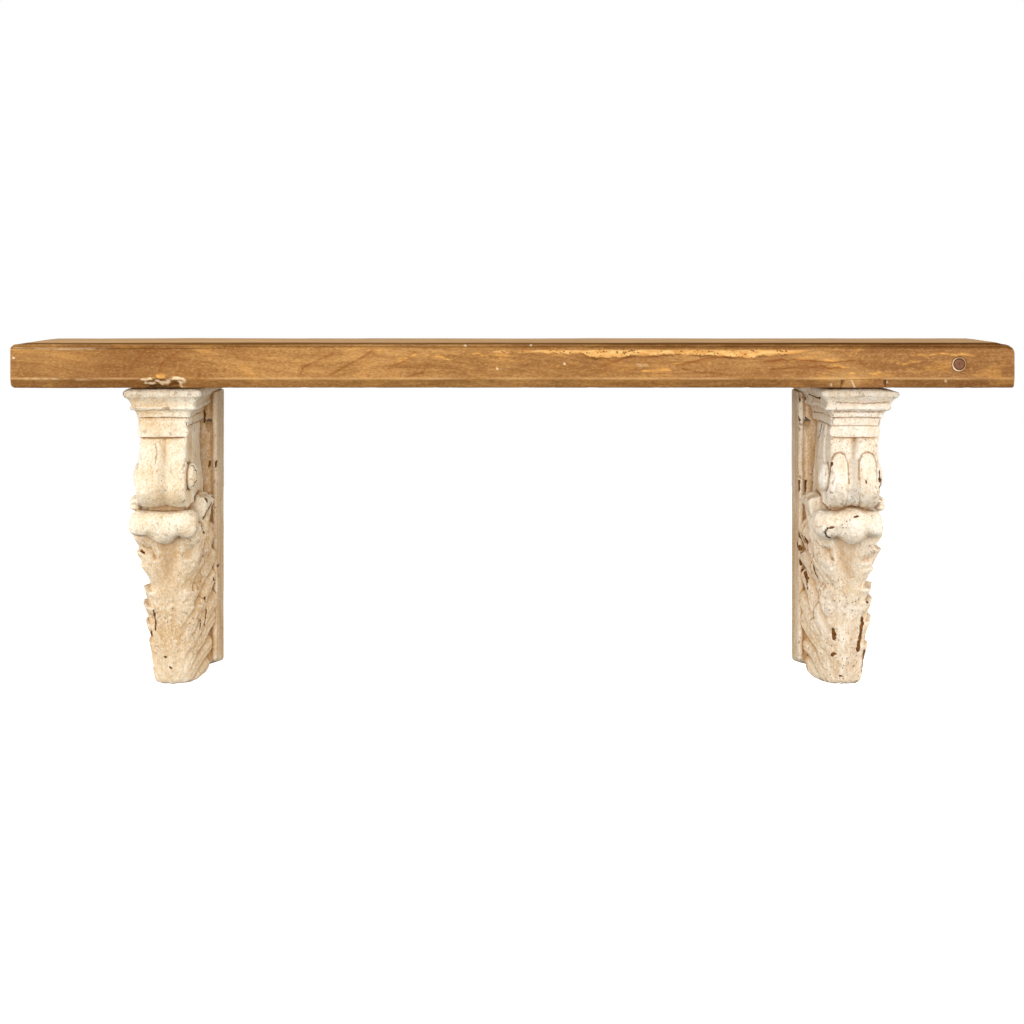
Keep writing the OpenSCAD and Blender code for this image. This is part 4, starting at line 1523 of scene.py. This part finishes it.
def mottled_paint(t, cream, shade, offset, worn_to, grain, pits):
    """The paint's colour: patchy, streaked with tan towards the wall and tinted there by grime and
    painted shade, thin on the leaf.
    """
    patches = t.noise(26, 5, 0.65, offset=offset)
    colour = t.mix(t.ramp(patches, 0.40, 0.66), cream, shade)
    colour = t.tint(colour, grain, 0.48, 0.68, 0.50, srgb(216, 178, 124))
    streaks = t.ramp(t.noise(75, 4, 0.6, (1, 1, 0.1), offset=offset), 0.50, 0.62)
    streaks = t.times(streaks, t.ramp(t.value("back"), 0.1, 0.8, 0.12, 0.70))
    colour = t.mix(streaks, colour, srgb(198, 150, 92))
    # Tinted tan towards the wall: grime, and painted shade on the recessed back parts
    colour = t.mix(t.times(t.value("back"), 0.36), colour, srgb(228, 188, 124))
    z = t.node("ShaderNodeSeparateXYZ", {0: t.coords()}).outputs["Z"]
    wander = t.plus(z, t.times(t.noise(40, 3, 0.6, offset=offset), 0.012))
    thin = t.times(t.ramp(wander, -0.166, -0.182), t.ramp(wander, worn_to - 0.07, worn_to))
    colour = t.mix(thin, colour, (0.88, 0.81, 0.73, 1), "MULTIPLY")
    colour = t.tint(colour, pits, 0.53, 0.66, 0.55, srgb(182, 138, 86))
    return t.tint(colour, pits, 0.49, 0.36, 0.62, srgb(255, 252, 245))


def add_grime_and_shade(t, colour, hollow):
    """Adds grime and painted shade in the hollows, towards the wall and in the leaf's furrows, and the
    placed stains.
    """
    # Painted shade and grime together: darker where wood encloses the paint, near and farther off, and
    # towards the wall
    grime_and_shade = t.plus(t.ramp(hollow, 0.46, 0.70), t.ramp(t.value("deep"), 0.38, 0.66, 0, 0.75))
    grime_and_shade = t.plus(grime_and_shade, t.times(t.value("back"), 0.18))
    ragged = t.ramp(t.noise(150, 5, 0.75), 0.32, 0.68, 0.4, 1.25)
    grime_and_shade = t.times(grime_and_shade, ragged, clamp=True)
    colour = t.mix(t.times(grime_and_shade, 0.85), colour, srgb(184, 142, 92))
    # The leaf's furrows painted tan: grime, and painted shade that brings out the relief
    colour = t.mix(t.times(t.value("furrow"), t.times(ragged, 0.42)), colour, srgb(196, 154, 102))
    return t.mix(t.times(t.value("stain"), 0.75), colour, srgb(158, 114, 66))


def chipped(t, colour, bare):
    """Adds the bare wood of the cracks and chips, darker along their rims."""
    wood = t.mix(t.ramp(t.noise(320, 3), 0.4, 0.65), srgb(142, 88, 36), srgb(92, 54, 22))
    rim = t.times(t.ramp(bare, 0.15, 0.45), t.ramp(bare, 0.95, 0.6))
    wood = t.mix(t.times(rim, 0.75), wood, srgb(58, 34, 14))
    return t.mix(t.ramp(bare, 0.22, 0.5), colour, wood)


def old_paint(name, cream, shade, speckle, offset, worn_to):
    """Thin cream paint on carved wood, darker in its hollows with grime and painted shade, chipped and
    specked with worm holes.

    From the lip down to the height worn_to, more of the wood's own tan shows through it.
    """
    material, sockets, t = new_material(name, 0.72)
    grain = t.noise(300, 5, 0.75, (1, 1, 0.22), offset=offset)
    pits = t.noise(520, 4, 0.8, (1, 1, 0.7), offset=offset)
    hollow = t.value("hollow")
    bare = t.value("bare")
    colour = mottled_paint(t, cream, shade, offset, worn_to, grain, pits)
    colour = add_grime_and_shade(t, colour, hollow)
    # Painted highlight: the exposed, convex parts, least enclosed by wood, turn whiter
    colour = t.tint(colour, hollow, 0.38, 0.22, 0.55, srgb(252, 244, 230))
    dots = t.ramp(t.specks(260), 0.12, 0.2, 1, 0)
    where = t.ramp(t.noise(34, 4, 0.6, offset=offset + 3), 0.5, 0.6)
    dots = t.times(t.times(dots, where), speckle)
    colour = t.mix(dots, colour, srgb(92, 60, 30))
    worn = t.ramp(t.noise(95, 5, 0.7, offset=offset), 0.56, 0.62)
    nicks = t.times(t.ramp(hollow, 0.40, 0.30), worn)
    colour = t.mix(t.times(nicks, 0.45 + 0.3 * speckle), colour, srgb(150, 104, 56))
    t.feed(sockets["Base Color"], chipped(t, colour, bare))
    fine = t.noise(480, 4, 0.75)
    lumpy = t.noise(150, 3, 0.6)
    gone = t.ramp(bare, 0.2, 0.5)
    height = t.total((fine, 0.6), (grain, 0.7), (lumpy, 0.8), (pits, -0.5), (dots, -1.2), (gone, -0.6))
    t.feed(sockets["Normal"], t.bump(height, 0.0018))
    t.feed(sockets["Roughness"], t.ramp(fine, 0.3, 0.7, 0.62, 0.85))
    sockets["Specular IOR Level"].default_value = 0.15
    return material


def growth_rings(t, x, y, z):
    """The dark late wood of each ring, round a pith that lies far below the plank's back."""
    sway = t.noise(3.2, 3, 0.5, (0.5, 1, 1))
    wander = t.noise(18, 2, 0.5, (0.25, 1, 1))
    height = t.plus(t.plus(t.plus(z, t.times(sway, 0.16)), 0.10), t.times(x, 0.03))
    height = t.plus(height, t.times(wander, 0.012))
    out = t.plus(y, 0.13)
    radius = t.math("SQRT", t.plus(t.math("POWER", height, 2.0), t.math("POWER", out, 2.0)))
    ring = t.math("FRACT", t.times(radius, 160.0))
    return t.times(t.ramp(ring, 0.25, 0.85), t.ramp(ring, 1.0, 0.86))


def old_wood(name, light, middle, dark):
    """Old pine or similar, with rings, pores and stains, and the plank's own marks."""
    material, sockets, t = new_material(name, 0.55)
    x, y, z = t.node("ShaderNodeSeparateXYZ", {0: t.coords()}).outputs
    broad = t.noise(9, 5, 0.6, (0.4, 1, 1), 0.6)
    streak = t.noise(130, 4, 0.6, (0.09, 1, 1), 0.4)
    hair = t.noise(560, 3, 0.6, (0.12, 1, 1))
    pores = t.noise(620, 3, 0.8, (0.45, 1, 1))
    figure = t.noise(30, 4, 0.6, (0.45, 1, 1), 1.6)
    cloud = t.noise(13, 3, 0.5, (0.35, 1, 1), 0.8, 2.0)
    colour = t.mix(t.ramp(broad, 0.38, 0.62), light, middle)
    colour = t.mix(t.times(t.ramp(x, 0.0, 0.30), 0.55), colour, srgb(150, 102, 62))
    towards_ends = t.ramp(t.math("ABSOLUTE", x), 0.2, 0.42)
    colour = t.mix(towards_ends, colour, (0.89, 0.88, 0.88, 1), "MULTIPLY")
    colour = t.mix(t.times(growth_rings(t, x, y, z), 0.36), colour, dark)
    for value, low, high, most, other in (
        (streak, 0.50, 0.72, 0.50, dark),
        (streak, 0.46, 0.30, 0.40, light),
        (hair, 0.54, 0.72, 0.34, srgb(122, 76, 34)),
        (figure, 0.52, 0.66, 0.50, srgb(136, 88, 42)),
        (figure, 0.46, 0.34, 0.45, srgb(206, 150, 78)),
        (pores, 0.51, 0.66, 0.48, srgb(112, 70, 32)),
        (pores, 0.46, 0.34, 0.42, srgb(212, 166, 104)),
    ):
        colour = t.tint(colour, value, low, high, most, other)
    colour = t.mix(t.ramp(cloud, 0.46, 0.62, 0, 0.55), colour, (0.74, 0.70, 0.66, 1), "MULTIPLY")
    colour = t.tint(colour, cloud, 0.44, 0.34, 0.30, srgb(222, 176, 112))
    grit = t.times(t.value("raw"), t.noise(700, 3, 0.7, (0.5, 1, 1)))
    height = t.total((streak, 0.6), (hair, 0.6), (pores, 0.6), (grit, 1.5))
    t.feed(sockets["Base Color"], marked_colour(t, colour))
    t.feed(sockets["Normal"], t.bump(height, 0.0004))
    t.feed(sockets["Roughness"], t.ramp(streak, 0.3, 0.7, 0.55, 0.72))
    # The number stands where a renderer can't follow the link
    sockets["Specular IOR Level"].default_value = 0.10
    t.feed(sockets["Specular IOR Level"], t.ramp(t.value("dark"), 0.15, 0.5, 0.10, 0.0))
    return material


def marked_colour(t, colour):
    """Adds the plank's veins, flecks, raw strip, stains and scars to a wood colour, with a painted
    highlight on its arris, painted light on its top and painted shade on its chamfer.
    """
    ragged = t.noise(330, 3, 0.7, (0.25, 1, 1))
    vein = t.times(t.value("vein"), t.ramp(ragged, 0.3, 0.6, 0.5, 0.95))
    colour = t.mix(vein, colour, srgb(126, 70, 26))
    gold = t.times(t.value("gold"), t.ramp(ragged, 0.38, 0.58, 0.1, 0.95))
    colour = t.mix(gold, colour, srgb(226, 166, 84))
    mottle = t.ramp(t.noise(260, 3, 0.6, (0.3, 1, 1)), 0.4, 0.65)
    raw_colour = t.mix(mottle, srgb(204, 146, 78), srgb(232, 186, 118))
    holes = t.ramp(t.specks(430, (0.7, 1, 1)), 0.22, 0.40, 0.95, 0)
    few = t.ramp(t.noise(140, 3), 0.40, 0.52)
    raw_colour = t.mix(t.times(holes, few), raw_colour, srgb(96, 58, 26))
    colour = t.mix(t.value("raw"), colour, raw_colour)
    # The edge value: the arris line, wear and painted highlight, and the painted light on the top
    colour = t.mix(t.times(t.value("edge"), 0.5), colour, srgb(222, 180, 124))
    pale = t.times(t.value("pale"), t.ramp(ragged, 0.25, 0.6, 0.5, 1.0))
    colour = t.mix(pale, colour, srgb(240, 214, 176))
    # The dark value: stains, cracks and dark bands, and the painted shade of the chamfer
    dark = t.times(t.value("dark"), t.ramp(ragged, 0.2, 0.6, 0.65, 1.0))
    return t.mix(t.times(dark, 0.88), colour, srgb(70, 40, 16))


def from_plug(t, off_x=0.0, off_z=0.0):
    """Coordinates from a place near the plug's axis, and the distance from that place."""
    shift = (-PLUG_MIDDLE[0] * MM - off_x, 0, -PLUG_MIDDLE[2] * MM - off_z)
    place = t.node("ShaderNodeVectorMath", {0: t.coords(), 1: shift}, operation="ADD").outputs[0]
    flat = t.node("ShaderNodeVectorMath", {0: place, 1: (1, 0, 1)}, operation="MULTIPLY").outputs[0]
    return place, t.node("ShaderNodeVectorMath", {0: flat}, operation="LENGTH").outputs["Value"]


def turned_wood(name):
    """The dowel's end grain: small rings about its own middle."""
    material, sockets, t = new_material(name, 0.6)
    radius = from_plug(t, 0.0008, -0.0006)[1]
    radius = t.plus(radius, t.times(t.noise(260, 3), 0.0012))
    ring = t.math("FRACT", t.times(radius, 900.0))
    mottle = t.noise(600, 3, 0.6)
    colour = t.mix(t.ramp(mottle, 0.35, 0.65), srgb(150, 92, 46), srgb(100, 56, 24))
    colour = t.tint(colour, ring, 0.3, 0.8, 0.85, srgb(80, 46, 22))
    colour = t.tint(colour, radius, 0.0016, 0.0007, 1, srgb(70, 40, 20))
    t.feed(sockets["Base Color"], colour)
    t.feed(sockets["Normal"], t.bump(mottle, 0.0004))
    return material


def old_filler(name):
    """Cream filler, cracked dark at its edges."""
    material, sockets, t = new_material(name, 0.8)
    mottle = t.noise(380, 4, 0.65)
    stain = t.noise(90, 3, 0.6)
    place, radius = from_plug(t)
    right = t.ramp(t.node("ShaderNodeSeparateXYZ", {0: place}).outputs["X"], -0.004, 0.002)
    browner = t.plus(t.ramp(stain, 0.42, 0.62, 0, 0.6), t.times(right, 0.85), clamp=True)
    colour = t.mix(browner, srgb(240, 216, 180), srgb(168, 120, 74))
    colour = t.tint(colour, mottle, 0.55, 0.75, 0.7, srgb(128, 86, 50))
    ragged = t.plus(radius, t.times(t.noise(500, 3), 0.0006))
    outer = t.ramp(ragged, HOLE_R * MM - 0.0009, HOLE_R * MM - 0.0003)
    inner = t.ramp(ragged, PLUG_R * MM + 0.0011, PLUG_R * MM + 0.0007)
    rim = t.math("MAXIMUM", outer, inner)
    colour = t.mix(t.times(rim, 0.8), colour, srgb(74, 42, 18))
    t.feed(sockets["Base Color"], colour)
    t.feed(sockets["Normal"], t.bump(mottle, 0.0005))
    return material


def plated_steel(name):
    """Dull zinc-plated steel, with fine scratches and a few dark stains."""
    material, sockets, t = new_material(name, 0.4)
    cloud = t.noise(110, 4, 0.6)
    scratch = t.noise(900, 2, 0.6, (1, 1, 0.1))
    colour = t.mix(t.ramp(cloud, 0.4, 0.7), srgb(176, 178, 180), srgb(120, 118, 114))
    t.feed(sockets["Base Color"], colour)
    t.feed(sockets["Roughness"], t.ramp(scratch, 0.3, 0.7, 0.32, 0.55))
    t.feed(sockets["Normal"], t.bump(scratch, 0.0001))
    sockets["Metallic"].default_value = 1
    return material


# ---------------------------------------------------------------- stage, light and camera


# The camera that matches the photo: it looks straight at the wall, from a little above the
# plank, and its frame is shifted down instead of tilted
CAMERA_PLACE = (-0.0045, -2.197, 0.0903)
LENS = 69.3
SHIFT = (0.0039, -0.2295)


def make_camera():
    """The photo's camera."""
    data = bpy.data.cameras.new("camera")
    data.lens = LENS
    data.sensor_width = 36
    data.shift_x, data.shift_y = SHIFT
    data.clip_end = 50
    camera = bpy.data.objects.new("camera", data)
    camera.location = CAMERA_PLACE
    camera.rotation_euler = (math.radians(90), 0, 0)
    bpy.context.scene.collection.objects.link(camera)
    bpy.context.scene.camera = camera


def make_floor():
    """A plain white floor well below the shelf, which doesn't throw light back up at it."""
    mesh = bpy.data.meshes.new("studio_floor")
    half, height = 9, -1.1
    corners = [(x, y, height) for x, y in ((-half, -half), (half, -half), (half, half), (-half, half))]
    mesh.from_pydata(corners, [], [(0, 1, 2, 3)])
    material, sockets, _ = new_material("studio_floor", 0.9)
    sockets["Base Color"].default_value = (0.8, 0.8, 0.8, 1)
    sockets["Emission Color"].default_value = (1, 1, 1, 1)
    sockets["Emission Strength"].default_value = 0.75
    mesh.materials.append(material)
    floor = bpy.data.objects.new("studio_floor", mesh)
    floor.visible_diffuse = False
    floor.visible_glossy = False
    bpy.context.scene.collection.objects.link(floor)


def make_light(name, place, target, size, power, colour=(1, 1, 1)):
    """A soft rectangular light at a place, turned to its target."""
    data = bpy.data.lights.new(name, "AREA")
    data.shape = "RECTANGLE"
    data.size, data.size_y = size
    data.energy = power
    data.color = colour
    light = bpy.data.objects.new(name, data)
    light.location = place
    toward = np.subtract(target, place)
    light.rotation_mode = "QUATERNION"
    light.rotation_quaternion = Vector(toward).to_track_quat("-Z", "Y")
    bpy.context.scene.collection.objects.link(light)


def make_world():
    """White behind the object, and a soft light on it that is stronger from above."""
    world = bpy.data.worlds.new("studio")
    world.use_nodes = True
    bpy.context.scene.world = world
    t = Tree(world.node_tree)
    seen = world.node_tree.nodes["Background"]
    seen.inputs["Color"].default_value = (1, 1, 1, 1)
    way = t.node("ShaderNodeTexCoord").outputs["Generated"]
    split = t.node("ShaderNodeSeparateXYZ", {0: way}).outputs
    soft = t.ramp(split["Z"], -0.6, 0.5, 0.17, 0.64)
    zenith = t.ramp(split["Z"], 0.70, 0.95, 0, 1.5)
    backdrop = t.ramp(split["Y"], 0.70, 0.95, 0, 0.85)
    around = t.math("MAXIMUM", t.math("MAXIMUM", soft, zenith), backdrop)
    direct = t.node("ShaderNodeLightPath").outputs["Is Camera Ray"]
    t.feed(seen.inputs["Strength"], t.math("MAXIMUM", around, direct))


def make_stage():
    """The camera, the floor, the world and the three lights."""
    make_camera()
    make_floor()
    make_world()
    target = (0, -0.1, -0.15)
    warm = (1.0, 0.94, 0.84)
    make_light("key", (-0.25, -2.4, 0.10), target, (1.5, 1.0), 36)
    make_light("left_side", (-2.3, -0.9, 0.1), target, (1.0, 1.4), 33, warm)
    make_light("right_side", (2.3, -0.9, 0.1), target, (1.0, 1.4), 37, warm)
    bpy.context.scene.view_settings.view_transform = "Standard"


# ---------------------------------------------------------------- putting it together

make_stage()
CREAM = srgb(253, 243, 220)
TAN = srgb(232, 206, 164)
WHITE = srgb(254, 248, 236)
carve("left", old_paint("old_cream_paint", CREAM, TAN, 0.6, 1.0, -0.29))
carve("right", old_paint("old_white_paint", WHITE, srgb(238, 220, 190), 1.0, 7.0, -0.20))

make_plank(old_wood("old_pine", srgb(186, 138, 80), srgb(162, 114, 62), srgb(128, 82, 38)))
make_patch(old_wood("patch_wood", srgb(172, 122, 74), srgb(152, 102, 58), srgb(116, 72, 34)))
make_filler(old_filler("cream_filler"))
make_dowel(turned_wood("dowel_wood"))
steel = plated_steel("zinc_plated_steel")
for steel_name in ("left_hanger_plate", "right_hanger_plate", "pocket_screws", "plate_screws"):
    steel_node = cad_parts[steel_name]
    steel_node.data.materials.clear()
    steel_node.data.materials.append(steel)
